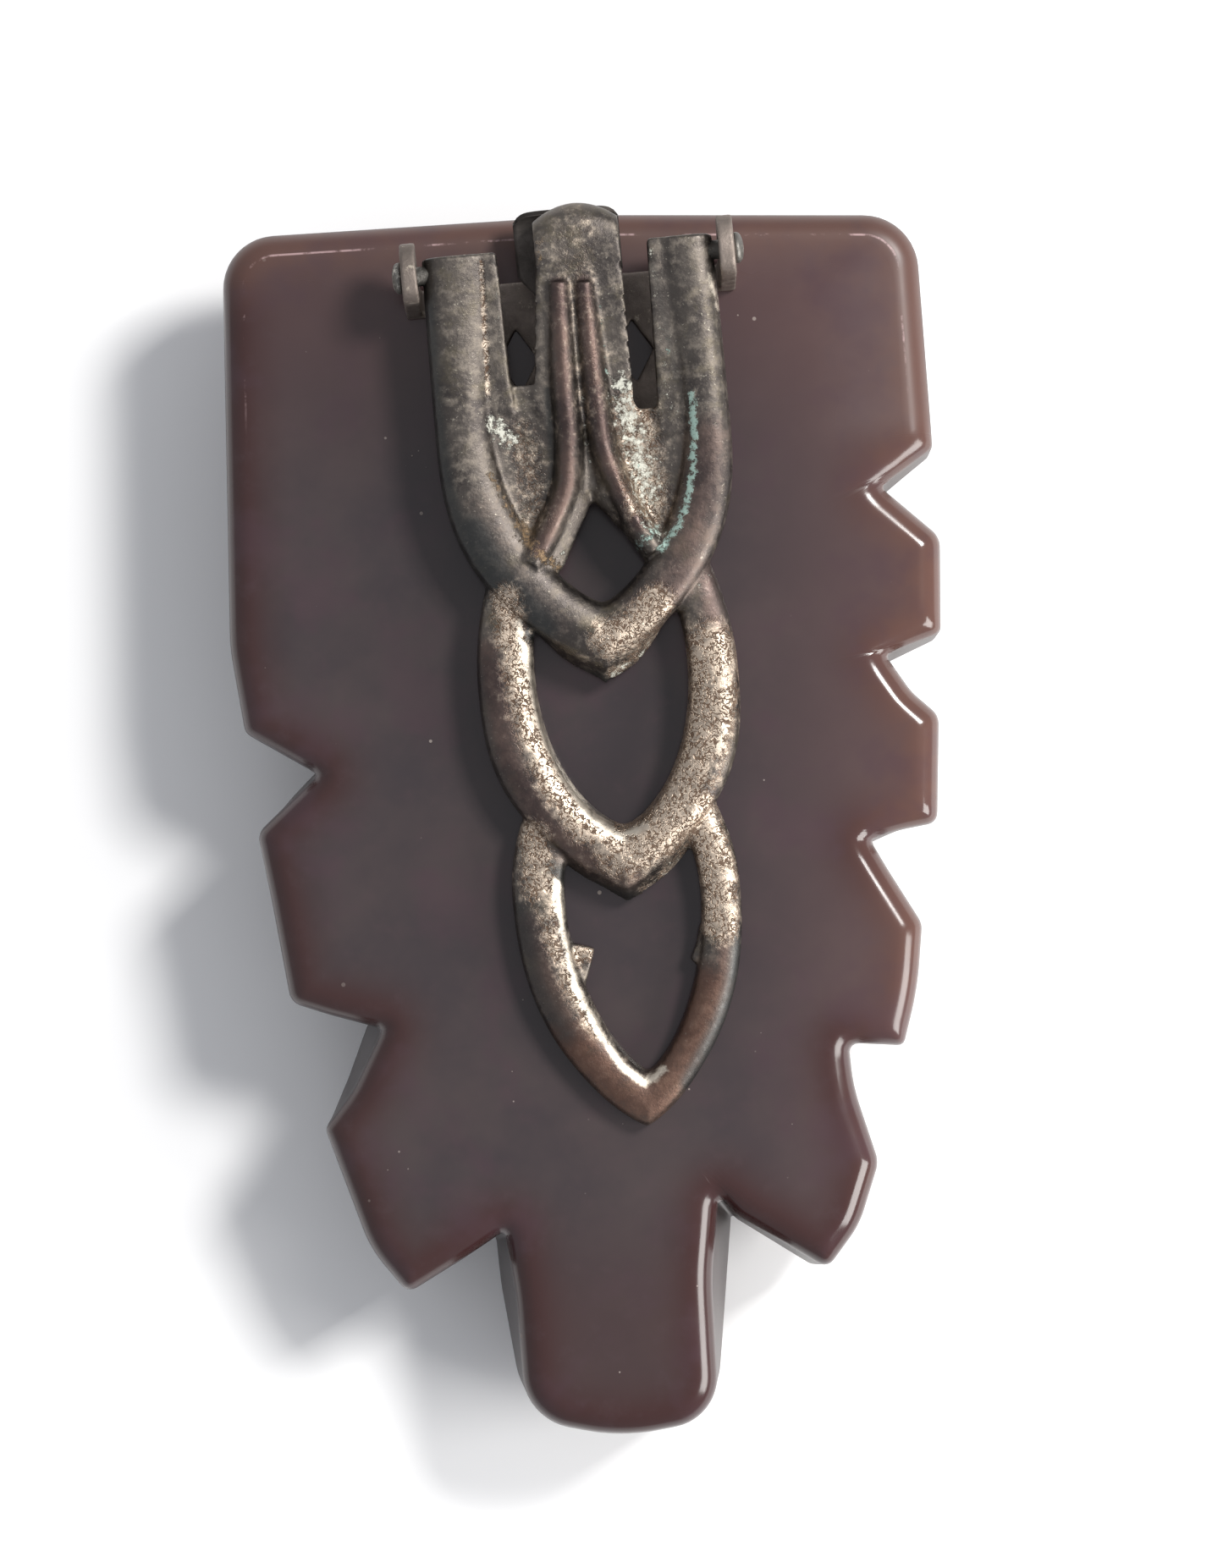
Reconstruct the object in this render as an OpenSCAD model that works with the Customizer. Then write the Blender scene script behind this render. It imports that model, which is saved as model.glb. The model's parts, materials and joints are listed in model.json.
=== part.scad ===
// Carved resin dress clip: a flat-backed ornament with a hinged openwork clip on its back.
// The ornament lies on its carved front: +Z points out of its back, +Y towards the hinge end,
// and the origin is the middle of the flat crest of the front.

/* [Ornament] */
// Height of the ornament along Y
body_h = 50; // [45:1:60]
// Width of the ornament along X
body_w = 29.2; // [27:0.2:36]
// Thickness from the flat crest of the front to the back
body_t = 9; // [7.5:0.25:11]
// Radius of the front's curve across the ornament
dome_across = 27; // [24:1:40]
// Radius of the front's curve along the ornament
dome_along = 110; // [90:5:200]
// Depth that is cut from the dome to leave the flat crest
crest_cut = 0.3; // [0.2:0.05:0.5]
// Radius of the wheel that cuts the grooves of the front
wheel_r = 16; // [12:1:24]
// Half width of the wheel at its hub
wheel_half_w = 11; // [8:1:14]
// Depth of the front grooves below the dome
groove_depth = 1.5; // [0.8:0.1:2]

/* [Base plate] */
// Thickness of the plate
plate_t = 0.4; // [0.3:0.05:0.6]
// Length of the plate
plate_l = 9.2; // [9:0.2:10]
// Length of the plate's wide part, under the arms
wing_l = 5.2; // [5:0.1:5.8]
// Length of each ear's foot
foot_l = 1.1; // [1:0.05:1.4]
// Width of the plate's narrow part
stem_w = 6.8; // [6:0.1:8]
// Thickness of each ear
ear_t = 0.65; // [0.5:0.05:0.8]
// Radius of the ears' round tops
ear_r = 1.1; // [1:0.05:1.3]
// Width of each lozenge window
window_w = 1.6; // [1.2:0.1:1.8]
// Length of each lozenge window
window_l = 2.6; // [2:0.1:3]
// Turn of the whole finding on the ornament
finding_turn = 2.8; // [0:0.2:5]

/* [Clip lever] */
// Width over the arms
lever_w = 11.8; // [11:0.1:13]
// Length from the hinge axis to the tip
lever_l = 35.2; // [34:0.2:38]
// Width of the arms' bands
band_w = 2.3; // [1.8:0.05:2.5]
// Height of the arms' bands
band_t = 1.6; // [1.5:0.05:1.8]
// Width of the flat strip inside each arm
strip_w = 0.65; // [0.4:0.05:0.8]
// Thickness of the web and of the tongue
web_t = 0.7; // [0.5:0.05:0.9]
// Width of the tongue
tongue_w = 3.6; // [3:0.1:4]
// Width of each rib on the tongue
rib_w = 0.8; // [0.6:0.05:0.9]
// Radius of the rolled end of the tongue
roll_r = 1; // [0.9:0.05:1.1]
// Width of the middle ring
ring_w = 10.6; // [10:0.1:11.4]
// Width of the last ring
last_ring_w = 9.3; // [8.6:0.1:10]
// Width of the rings' bands
ring_band = 2.1; // [1.8:0.05:2.3]
// Gap under the closed lever's tip
tip_gap = 0.12; // [0.1:0.02:0.3]

/* [Hinge and pins] */
// Height of the hinge axis above the back
hinge_h = 3; // [3:0.1:3.5]
// Radius of the stub rivets
rivet_r = 0.4; // [0.35:0.05:0.45]
// Radial clearance of the rivets in the lever
rivet_gap = 0.04; // [0.02:0.01:0.06]
// Radius of the rivets' heads
rivet_head_r = 0.65; // [0.6:0.05:0.8]
// Radius of the escutcheon pins
pin_r = 0.45; // [0.4:0.05:0.55]
// Depth of the escutcheon pins in the resin
pin_depth = 3.4; // [2.5:0.1:3.6]
// Thickness of the leaf spring
spring_t = 0.28; // [0.2:0.02:0.34]
// Width of the leaf spring's stem
spring_w = 2.8; // [2.4:0.1:3.2]

/* [Hidden] */
$fn = 64;
past = 1;                                      // cutters reach this far past what they cut
side_gap = 0.22;                               // between an arm and its ear
hinge_in = 2.1;                                // from the ornament's top edge down to the hinge axis
hinge_x = -0.2;                                // the finding sits a little left of the middle
hinge_y = body_h / 2 - hinge_in;
head_t = 0.38;                                 // thickness of every rivet and pin head
head_lip = 0.4;                                // how far a pin's head stands out round its shank
sx = body_w / 29.2;                            // the outline follows the two overall sizes
sy = body_h / 50;

// lever: heights are over its underside, places along Y are from the hinge axis
arm_x = lever_w / 2;                           // outer face of the arms
ear_x = arm_x + side_gap;                      // inner face of the ears
ear_out = ear_x + ear_t;
arm_end = rivet_r + 0.3;                       // the arms reach this far past the hinge axis
under = 0.9;                                   // underside below the hinge axis
web_low = 0.42;                                // underside of the web
tongue_low = 0.75;                             // underside of the tongue
lever_fall = atan((hinge_h - under - tip_gap) / lever_l);   // slope of the closed lever
slot_out = arm_x - band_w - strip_w;           // outer edge of both slots
roll_y = 1.45;                                 // centre of the tongue's roll
roll_z = hinge_h - under + tongue_low + web_t - roll_r;
tip_last = -lever_l;                           // points of the last ring, the middle ring and the chevron
tip_ring = tip_last + 9.4;
tip_arms = tip_ring + 9.05;
chevron_r = arm_x * 1.76;                      // arc of the arms as they close in
ring_r = ring_w * 0.945;
last_ring_r = last_ring_w * 1.35;
ring_l = 13.1;                                 // from the point of each ring to its hidden upper end
last_ring_l = 12.5;
ring_t = band_t - 0.15;
last_ring_t = band_t - 0.35;
diamond = [1.75, 2];                           // half width and half length of the diamond window
diamond_y = tip_arms + 4.8;                    // its middle

// plate and pins
plate_top = -0.35;                             // the plate starts this far below the hinge axis
window_x = (tongue_w / 2 + slot_out) / 2;      // each window lies under a slot
window_y = plate_top - 3.2;
pin_places = [[-(arm_x - 1.3), window_y], [arm_x - 1.3, window_y], [0, plate_top - plate_l + 1.9]];
curl_gap = 0.04;                               // between the spring's curl and the roll

// Outline of the ornament without its notches: [x, y, corner radius], clockwise.
BLANK = [
  [-14.42, 24.88, 2.2], [0.8, 25.05, 40], [14.15, 24.5, 2.1], [14.5, 15, 1], [14.6, 9, 8],
  [14.3, 3.5, 6], [13.5, -3, 10], [12.4, -9.4, 6], [11, -14.3, 1.4], [8.75, -18.6, 0.5],
  [5, -16.4, 0.2], [4.75, -18.9, 6], [4.05, -24.55, 2.2], [0, -25.1, 8], [-3.95, -24.2, 2.6],
  [-4.8, -19, 6], [-4.95, -16.9, 0.2], [-8.55, -18.9, 0.5], [-11.7, -11.9, 0.8], [-13.1, -5.8, 8],
  [-14.1, 0.2, 8], [-14.75, 7.6, 8]
];
// Notches: [apex on the back, a point on each side, lean in degrees along Y and along X].
NOTCHES = [
  [[12.3, 13.4], [14.5, 14.95], [14.6, 11.4], [-3, 0]],
  [[12.2, 6.58], [14.5, 7.4], [14.3, 4.05], [-3, 0]],
  [[11.3, -1], [14.05, -0.4], [13.2, -4.5], [-2, 0]],
  [[10, -9.4], [12.3, -9.55], [11.05, -14.3], [0, 0]],
  [[4.4, -15.45], [8.75, -18.6], [4, -24.4], [-10, -5]],
  [[-4.5, -16.5], [-3.95, -24], [-8.55, -18.9], [-5, 5]],
  [[-11.4, 2.65], [-14.3, 4.45], [-13.95, 0.25], [3, 0]],
  [[-9.2, -8], [-12.9, -6.65], [-11.7, -11.9], [8, 2]]
];
// Front grooves: [inner end, angle of the cut outwards from +X].
GROOVES = [
  [[5.4, 14.6], -4], [[5.2, 8.6], -17], [[4.8, 1.9], -24], [[4.6, -4.8], -40],
  [[-5.2, 2.2], 184], [[-4.6, -6.3], 199], [[-5.4, 9.4], 176], [[-5.4, 16.4], 172]
];

function unit(v) = v / norm(v);
function fitted(p) = [p[0] * sx, p[1] * sy];
function corner(p, q, s, r) =
  let (a = unit(p - q), b = unit(s - q), half = acos(a * b) / 2,
       back = min(r / tan(half), 0.45 * norm(p - q), 0.45 * norm(s - q)), rad = back * tan(half),
       mid = q + unit(a + b) * rad / sin(half), from = q + a * back - mid, to = q + b * back - mid,
       start = atan2(from[1], from[0]), turn = atan2(to[1], to[0]) - start,
       sweep = turn > 180 ? turn - 360 : turn < -180 ? turn + 360 : turn,
       steps = max(2, ceil(abs(sweep) / 15)))
  [for (i = [0:steps]) mid + rad * [cos(start + sweep * i / steps), sin(start + sweep * i / steps)]];
function rounded(list) =
  let (n = len(list), xy = [for (c = list) fitted(c)])
  [for (i = [0:n - 1]) each corner(xy[(i + n - 1) % n], xy[i], xy[(i + 1) % n], list[i][2])];
// how far a leaf's point lies below its widest place
function drop(half, r) = sqrt(r * r - pow(r - half, 2));

module on_back() translate([hinge_x, hinge_y, body_t]) rotate([0, 0, finding_turn]) children();
module at_hinge() translate([0, 0, hinge_h]) rotate([lever_fall, 0, 0]) translate([0, 0, -under]) children();
module along_x(r, from, to) translate([from, 0, 0]) rotate([0, 90, 0]) cylinder(r = r, h = to - from);
module both_sides() { children(); mirror([1, 0, 0]) children(); }

// The domed blank: a barrel surface that is round both ways, cut flat at its crest.
module barrel()
  translate([0, 0, dome_along - crest_cut]) rotate([0, 90, 0])
    rotate_extrude($fn = 96)
      intersection() {
        translate([dome_along - dome_across, 0]) circle(r = dome_across, $fn = 96);
        translate([0, -body_w]) square([dome_along, 2 * body_w]);
      }

module notch(cut)
  let (apex = fitted(cut[0]), sides = [fitted(cut[1]) - apex, fitted(cut[2]) - apex], far = 2.5)
  translate([apex[0], apex[1], body_t]) rotate([cut[3][0], cut[3][1], 0])
    translate([0, 0, -2 * body_t]) linear_extrude(3 * body_t)
      polygon([[0, 0], far * sides[0], far * sides[1]]);

// One pass of a V-edged wheel, which runs out of the dome at the inner end.
module wheel_cut(cut)
  let (reach = 0.55 * wheel_r, x = cut[0][0] * sx + reach * cos(cut[1]), y = cut[0][1] * sy + reach * sin(cut[1]),
       crest = dome_across - sqrt(pow(dome_across, 2) - x * x) + y * y / (2 * dome_along) - crest_cut)
  translate([x, y, crest + groove_depth - wheel_r]) rotate([90, 0, cut[1]])
    rotate_extrude() polygon([[0, -wheel_half_w], [wheel_r, 0], [0, wheel_half_w]]);

module pin_holes(from, to) for (p = pin_places) translate([p[0], p[1], from]) cylinder(r = pin_r, h = to - from);

module resin_ornament() color([0.36, 0.2, 0.18]) difference() {
  intersection() {
    linear_extrude(body_t) polygon(rounded(BLANK));
    barrel();
  }
  for (cut = NOTCHES) notch(cut);
  for (cut = GROOVES) wheel_cut(cut);
  on_back() pin_holes(-pin_depth, past);
}

// Side view of an ear: a foot on the plate that leans up to the round top.
module ear_side() {
  polygon([[plate_top - foot_l, 0], [plate_top, 0], [ear_r, hinge_h - 0.4], [ear_r, hinge_h], [-ear_r, hinge_h]]);
  translate([0, hinge_h]) circle(r = ear_r);
}

module base_plate() color([0.55, 0.48, 0.42]) on_back() difference() {
  union() {
    translate([-ear_out, plate_top - foot_l, 0]) cube([2 * ear_out, foot_l, plate_t]);
    translate([0.4 - arm_x, plate_top - wing_l, 0]) cube([2 * arm_x - 0.8, wing_l, plate_t]);
    translate([-stem_w / 2, plate_top - plate_l, 0]) cube([stem_w, plate_l, plate_t]);
    both_sides() translate([ear_x, 0, 0]) rotate([90, 0, 90]) linear_extrude(ear_t) ear_side();
  }
  pin_holes(-past, plate_t + past);
  both_sides() translate([window_x, window_y, -past]) linear_extrude(plate_t + 2 * past)
    polygon([[-window_w / 2, 0], [0, -window_l / 2], [window_w / 2, 0], [0, window_l / 2]]);
  translate([0, 0, hinge_h]) along_x(rivet_r, -ear_out - past, ear_out + past);
}

// Side view of the spring: flat root on the plate, rising leaf, curl round the tongue's roll.
function curl(r, angles) = [for (a = angles) [roll_y, roll_z] + r * [cos(a), sin(a)]];
module spring_side() {
  root_y = plate_top - plate_l + 0.8;
  bend_y = plate_top - 2.65;
  curl_r = roll_r + curl_gap;
  polygon(concat(
    [[root_y, plate_t], [bend_y, plate_t]],
    curl(curl_r + spring_t, [-100:10:-40]), curl(curl_r, [-40:-10:-100]),
    [[bend_y, plate_t + spring_t], [root_y, plate_t + spring_t]]));
}

module leaf_spring() color([0.4, 0.37, 0.34]) on_back() difference() {
  head_w = tongue_w + 0.6;
  intersection() {
    rotate([90, 0, 90]) translate([0, 0, -head_w]) linear_extrude(2 * head_w) spring_side();
    union() {
      translate([-spring_w / 2, plate_top - plate_l, 0]) cube([spring_w, plate_l - plate_top, 2 * hinge_h]);
      translate([-head_w / 2, -0.7, 0]) cube([head_w, 3 * roll_r + roll_y, 2 * hinge_h]);
    }
  }
  pin_holes(-past, hinge_h);
}

// A leaf shape from two arcs, its widest place at y, with pointed ends.
module leaf_2d(half, r, y) intersection() {
  translate([half - r, y]) circle(r = r, $fn = 128);
  translate([r - half, y]) circle(r = r, $fn = 128);
}

// The part of a leaf below its widest place, as a straight-sided column above it.
module tongue_2d(half, r, y, top) {
  intersection() {
    leaf_2d(half, r, y);
    translate([-half, y - 3 * half]) square([2 * half, 3 * half]);
  }
  translate([-half, y - 0.1]) square([2 * half, top - y + 0.1]);
}

module ring(half, r, tip, wide, long, tall) intersection() {
  y = tip + drop(half, r);
  linear_extrude(tall) difference() {
    leaf_2d(half, r, y);
    leaf_2d(half - wide, r - wide, y + 0.15);
  }
  translate([-half, tip, 0]) cube([2 * half, long, tall]);
}

module clip_lever() color([0.5, 0.42, 0.36]) on_back() difference() {
  widest = tip_arms + drop(arm_x, chevron_r);      // the arms start to close in here
  union() {
    at_hinge() {
      // arms, closing in to the chevron
      linear_extrude(band_t) difference() {
        tongue_2d(arm_x, chevron_r, widest, arm_end);
        tongue_2d(arm_x - band_w, chevron_r - band_w, widest, arm_end + past);
      }
      // web, with the diamond window and the two slots
      translate([0, 0, web_low]) linear_extrude(web_t) difference() {
        tongue_2d(arm_x - 1, chevron_r - 1, widest, arm_end);
        both_sides() translate([tongue_w / 2, widest + 1.8]) square([slot_out - tongue_w / 2, arm_end - widest]);
        translate([0, diamond_y])
          polygon([[-diamond[0], 0], [0, -diamond[1]], [diamond[0], 0], [0, diamond[1] + 0.6]]);
      }
      // tongue and its two ribs, which part round the diamond window
      translate([-tongue_w / 2, widest, tongue_low]) cube([tongue_w, roll_y - widest, web_t]);
      both_sides() {
        translate([0.14, widest, tongue_low]) cube([rib_w, arm_end - widest - 1.9, band_t + 0.15 - tongue_low]);
        linear_extrude(band_t) polygon([
          [0.14, widest + past], [0.14 + rib_w, widest + past], [rib_w + 0.5, diamond_y + diamond[1]],
          [diamond[0] + 1, diamond_y], [diamond[0] + 0.3, diamond_y - 1], [0.45, diamond_y + diamond[1]]]);
      }
      ring(ring_w / 2, ring_r, tip_ring, ring_band, ring_l, ring_t);
      ring(last_ring_w / 2, last_ring_r, tip_last, ring_band - 0.1, last_ring_l, last_ring_t);
      // gripping teeth inside the last ring
      translate([0, tip_last + 8.2, 0.1]) linear_extrude(0.5) {
        tooth_x = last_ring_w / 2 - ring_band;
        polygon([[-tooth_x - 0.6, 0], [-tooth_x + 1.05, -0.8], [-tooth_x + 0.5, -2.2], [-tooth_x - 0.3, -2]]);
        polygon([[tooth_x + 0.6, 0.3], [tooth_x, 0], [tooth_x, -1.5], [tooth_x + 0.6, -1.7]]);
      }
    }
    // rolled end of the tongue
    translate([0, roll_y, roll_z]) difference() {
      along_x(roll_r, -tongue_w / 2 + 0.2, tongue_w / 2 - 0.2);
      translate([-tongue_w, -2 * roll_r - 0.5, -2 * roll_r]) cube([2 * tongue_w, 2 * roll_r, 2 * roll_r]);
    }
  }
  both_sides() translate([0, 0, hinge_h]) along_x(rivet_r + rivet_gap, arm_x - band_w - 0.3, arm_x + past);
}

module pivot_rivets() color([0.6, 0.55, 0.5]) on_back() translate([0, 0, hinge_h]) both_sides() {
  along_x(rivet_r, arm_x - band_w + 0.1, ear_out);
  along_x(rivet_head_r, ear_out, ear_out + head_t);
}

module plate_pins() color([0.7, 0.6, 0.45]) on_back() for (p = pin_places) {
  seat = p[0] == 0 ? plate_t + spring_t : plate_t;
  translate([p[0], p[1], -pin_depth]) cylinder(r = pin_r, h = pin_depth + seat);
  translate([p[0], p[1], seat]) cylinder(r1 = pin_r + head_lip, r2 = pin_r + head_lip - 0.25, h = head_t);
}

resin_ornament();
base_plate();
leaf_spring();
clip_lever();
pivot_rivets();
plate_pins();
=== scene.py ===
import json
import math
import bpy
import numpy as np
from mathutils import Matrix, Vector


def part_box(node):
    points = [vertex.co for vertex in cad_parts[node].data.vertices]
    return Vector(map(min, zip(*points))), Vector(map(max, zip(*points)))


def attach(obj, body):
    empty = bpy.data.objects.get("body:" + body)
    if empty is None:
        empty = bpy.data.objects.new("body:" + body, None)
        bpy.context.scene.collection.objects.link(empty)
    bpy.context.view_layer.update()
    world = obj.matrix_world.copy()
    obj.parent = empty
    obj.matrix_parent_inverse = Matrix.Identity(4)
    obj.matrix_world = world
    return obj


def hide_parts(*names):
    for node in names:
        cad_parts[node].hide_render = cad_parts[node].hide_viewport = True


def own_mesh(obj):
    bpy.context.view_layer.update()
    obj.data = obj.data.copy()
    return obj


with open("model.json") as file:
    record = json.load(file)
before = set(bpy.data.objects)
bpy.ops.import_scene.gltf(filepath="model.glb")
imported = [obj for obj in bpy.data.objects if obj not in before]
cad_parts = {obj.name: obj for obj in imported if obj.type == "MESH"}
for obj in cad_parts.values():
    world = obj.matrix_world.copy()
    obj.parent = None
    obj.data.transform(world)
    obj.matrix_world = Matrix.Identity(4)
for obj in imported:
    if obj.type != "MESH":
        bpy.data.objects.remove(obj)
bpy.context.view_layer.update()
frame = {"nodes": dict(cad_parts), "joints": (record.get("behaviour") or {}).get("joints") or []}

mm = 0.001
hinge = frame["joints"][0]
hingeSpot = np.array(hinge["pos_m"])
acrossWay = -np.array(hinge["axis"])                       # from the left ear to the right one
alongWay = np.array([-acrossWay[1], acrossWay[0], 0.0])    # from the lever's tip to its hinge
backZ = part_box("resin_ornament")[1][2]                     # height of the resin's flat back
backTop = backZ / mm


def toFrame(points):
    # a finding point (across, along, height above the back) in mm becomes a frame point in metres
    start = np.array([hingeSpot[0], hingeSpot[1], backZ])
    up = np.array([0.0, 0.0, 1.0])
    return start + mm * (points[:, :1] * acrossWay + points[:, 1:2] * alongWay + points[:, 2:3] * up)


def makeMesh(name, points, faces, smooth=True):
    # one mesh object from a point array and a list of face arrays, three or four corners each
    mesh = bpy.data.meshes.new(name)
    mesh.vertices.add(len(points))
    mesh.vertices.foreach_set("co", np.ascontiguousarray(points, dtype=np.float32).ravel())
    loops = np.concatenate([block.ravel() for block in faces]).astype(np.int32)
    sizes = np.concatenate([np.full(len(block), block.shape[1]) for block in faces])
    starts = np.concatenate([[0], np.cumsum(sizes)[:-1]]).astype(np.int32)
    mesh.loops.add(len(loops))
    mesh.loops.foreach_set("vertex_index", loops)
    mesh.polygons.add(len(sizes))
    mesh.polygons.foreach_set("loop_start", starts)
    mesh.update(calc_edges=True)
    mesh.validate()
    mesh.polygons.foreach_set("use_smooth", np.full(len(mesh.polygons), smooth))
    mesh.update()
    piece = bpy.data.objects.new(name, mesh)
    bpy.context.scene.collection.objects.link(piece)
    return piece


def paintPoints(piece, name, values):
    # one number from 0 to 1 at every point, which a material reads by its name
    layer = piece.data.attributes.new(name, "FLOAT", "POINT")
    layer.data.foreach_set("value", np.ascontiguousarray(values, dtype=np.float32))


def wallTurn(piece):
    # how far the skin turns from level at every point: 0 on a flat face, 1 on an upright wall
    normals = np.empty(len(piece.data.vertices) * 3, dtype=np.float32)
    piece.data.vertex_normals.foreach_get("vector", normals)
    return 1 - np.abs(normals.reshape(-1, 3)[:, 2])


def gridFaces(rows, columns):
    # quads between neighbouring rows of a grid whose last column meets its first
    row = np.arange(rows - 1)[:, None]
    column = np.arange(columns)[None, :]
    a = row * columns + column
    b = row * columns + (column + 1) % columns
    return np.stack([a, b, b + columns, a + columns], axis=-1).reshape(-1, 4)


def fanFaces(ring, centre):
    # triangles from a closed ring of indices to one centre point
    return np.stack([ring, np.roll(ring, -1), np.full(len(ring), centre)], axis=-1)


def tubeSolid(sections):
    # a closed ring profile at each step of a path, with a fan over each end: sections is (steps, ring, 3)
    steps, ring = sections.shape[:2]
    middles = np.stack([sections[0].mean(axis=0), sections[-1].mean(axis=0)])
    points = np.concatenate([sections.reshape(-1, 3), middles])
    sides = gridFaces(steps, ring)
    startCap = fanFaces(np.arange(ring), steps * ring)[:, ::-1]
    endCap = fanFaces(np.arange(ring) + (steps - 1) * ring, steps * ring + 1)
    return points, [sides, startCap, endCap]


def slabSolid(top, bottom):
    # a plate between two grids of points of the same shape, closed round its four edges
    return tubeSolid(np.concatenate([top, bottom[:, ::-1]], axis=1))     # each row becomes a closed strip


def joinSolids(solids):
    # several closed solids in one pair of arrays
    points, faces, count = [], [], 0
    for solidPoints, solidFaces in solids:
        points.append(solidPoints)
        faces += [block + count for block in solidFaces]
        count += len(solidPoints)
    return np.concatenate(points), faces


def fuseSolids(name, solids, voxel, relax):
    # closed solids in mm melt into one skin on a fine grid, and a few relaxing passes soften its edges
    rough = makeMesh(name + "Rough", *joinSolids(solids))
    remesh = rough.modifiers.new("fuse", "REMESH")
    remesh.mode = "VOXEL"
    remesh.voxel_size = voxel
    soften = rough.modifiers.new("soften", "SMOOTH")
    soften.factor = 0.5
    soften.iterations = relax
    melted = rough.evaluated_get(bpy.context.evaluated_depsgraph_get())
    skin = melted.to_mesh()
    places = np.empty(len(skin.vertices) * 3, dtype=np.float32)
    skin.vertices.foreach_get("co", places)
    corners = np.empty(len(skin.loops), dtype=np.int32)
    skin.loops.foreach_get("vertex_index", corners)
    sizes = np.empty(len(skin.polygons), dtype=np.int32)
    skin.polygons.foreach_get("loop_total", sizes)
    melted.to_mesh_clear()
    bpy.data.objects.remove(rough)
    starts = np.concatenate([[0], np.cumsum(sizes)[:-1]])
    blocks = []
    for corner in (3, 4):
        picked = starts[sizes == corner]
        if len(picked):
            blocks.append(corners[picked[:, None] + np.arange(corner)])
    return places.reshape(-1, 3).astype(float), blocks


def smoothMax(a, b, soft):
    # the larger of two heights, with the crease between them rounded over a width of soft
    gap = np.clip(0.5 + 0.5 * (a - b) / soft, 0, 1)
    return b + (a - b) * gap + soft * gap * (1 - gap)


def glide(value, low, high):
    # 0 below low, 1 above high, and an even S curve between them
    t = np.clip((value - low) / (high - low), 0, 1)
    return t * t * (3 - 2 * t)


def curveThrough(knots, count):
    # a smooth path through given knots: each stretch is a Catmull-Rom cubic, evenly sampled
    knots = np.asarray(knots, dtype=float)
    padded = np.concatenate([[2 * knots[0] - knots[1]], knots, [2 * knots[-1] - knots[-2]]])
    t = np.linspace(0, len(knots) - 1 - 1e-9, count)
    i = t.astype(int)
    f = (t - i)[:, None]
    a, b, c, d = padded[i], padded[i + 1], padded[i + 2], padded[i + 3]
    square = 2 * a - 5 * b + 4 * c - d
    cube = 3 * b - a - 3 * c + d
    return 0.5 * (2 * b + (c - a) * f + square * f ** 2 + cube * f ** 3)


resinShape = {
    "backRound": 1.05, "rimRound": 0.5,                # radii of the back edge and of the front rim
    "domeAcross": 27, "domeAlong": 110, "crestCut": 0.3,
    "wheelRadius": 16, "wheelHalf": 11, "grooveDepth": 1.5, "grooveSoft": 0.12,
    "spine": (0.52, 0.75, 1.05),       # its share of the outline's height, its lift, its share in the tip
    "around": 720, "glowDepth": 1.6,
    # outline of the back, clockwise from the top: x, y, corner radius, and the wall's lean by the front rim
    "corners": [
        (0.8, 25.22, 40, 0, 0), (14.15, 24.66, 2.3, 0, 0), (14.5, 14.98, 0.4, 0, -0.15),
        (12.3, 13.5, 0.16, 0, -0.35), (14.65, 11.35, 0.9, 0, -0.1), (14.52, 7.38, 0.4, 0, -0.15),
        (12.2, 6.58, 0.16, 0, -0.35), (13.2, 5.02, 3, 0, -0.2), (14.3, 4.0, 0.8, 0, 0),
        (14.05, -0.42, 0.5, 0, 0), (12.5, -0.66, 3, 0, -0.1), (11.25, -1.02, 0.16, 0.1, -0.15),
        (11.95, -2.3, 4, 0, 0), (13.25, -4.55, 0.8, 0, 0), (12.95, -7.2, 20, 0, 0),
        (12.28, -9.55, 0.3, 0, 0), (10.0, -9.35, 0.35, 0, 0), (10.15, -11.2, 8, 0, 0),
        (11.05, -14.3, 1.2, 0, 0), (10.15, -16.85, 4, 0, 0), (8.75, -18.62, 0.5, -0.25, -0.38),
        (4.95, -16.15, 0.6, 0.3, -0.75), (4.4, -15.4, 0.15, 0.58, -1.25), (3.98, -18.8, 12, 0.75, 0),
        (4.05, -24.6, 2.2, 0, 0), (0, -25.2, 8, 0, 0), (-3.95, -24.3, 2.5, -0.15, 0),
        (-4.15, -19.2, 12, -0.7, 0), (-4.5, -16.5, 0.15, -0.5, -0.6), (-6.2, -17.55, 8, -0.1, -0.1),
        (-8.58, -18.9, 0.5, 0, 0), (-10.05, -17.0, 5, 0, 0), (-11.72, -11.95, 0.5, 0, 0),
        (-10.5, -10.45, 4, -0.35, 0.4), (-9.2, -7.95, 0.16, -0.3, 1.0), (-11.3, -7.3, 4, 0, 0.5),
        (-12.9, -6.72, 0.7, 0, 0.2), (-13.5, -2.6, 20, 0, 0), (-13.98, 0.32, 0.7, 0, 0),
        (-11.4, 2.64, 0.16, 0, 0.4), (-14.32, 4.45, 0.6, 0, 0.2), (-14.8, 8.0, 8, 0, 0),
        (-14.42, 24.86, 2.2, 0, 0)],
    # wheel cuts of the front: x, y of the inner end and the angle of the cut
    "grooves": [(5.4, 14.6, -4), (5.2, 8.6, -17), (4.8, 1.9, -24), (4.6, -4.8, -40),
                (-5.2, 2.2, 184), (-4.6, -6.3, 199), (-5.4, 9.4, 176), (-5.4, 16.4, 172)],
}


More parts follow.
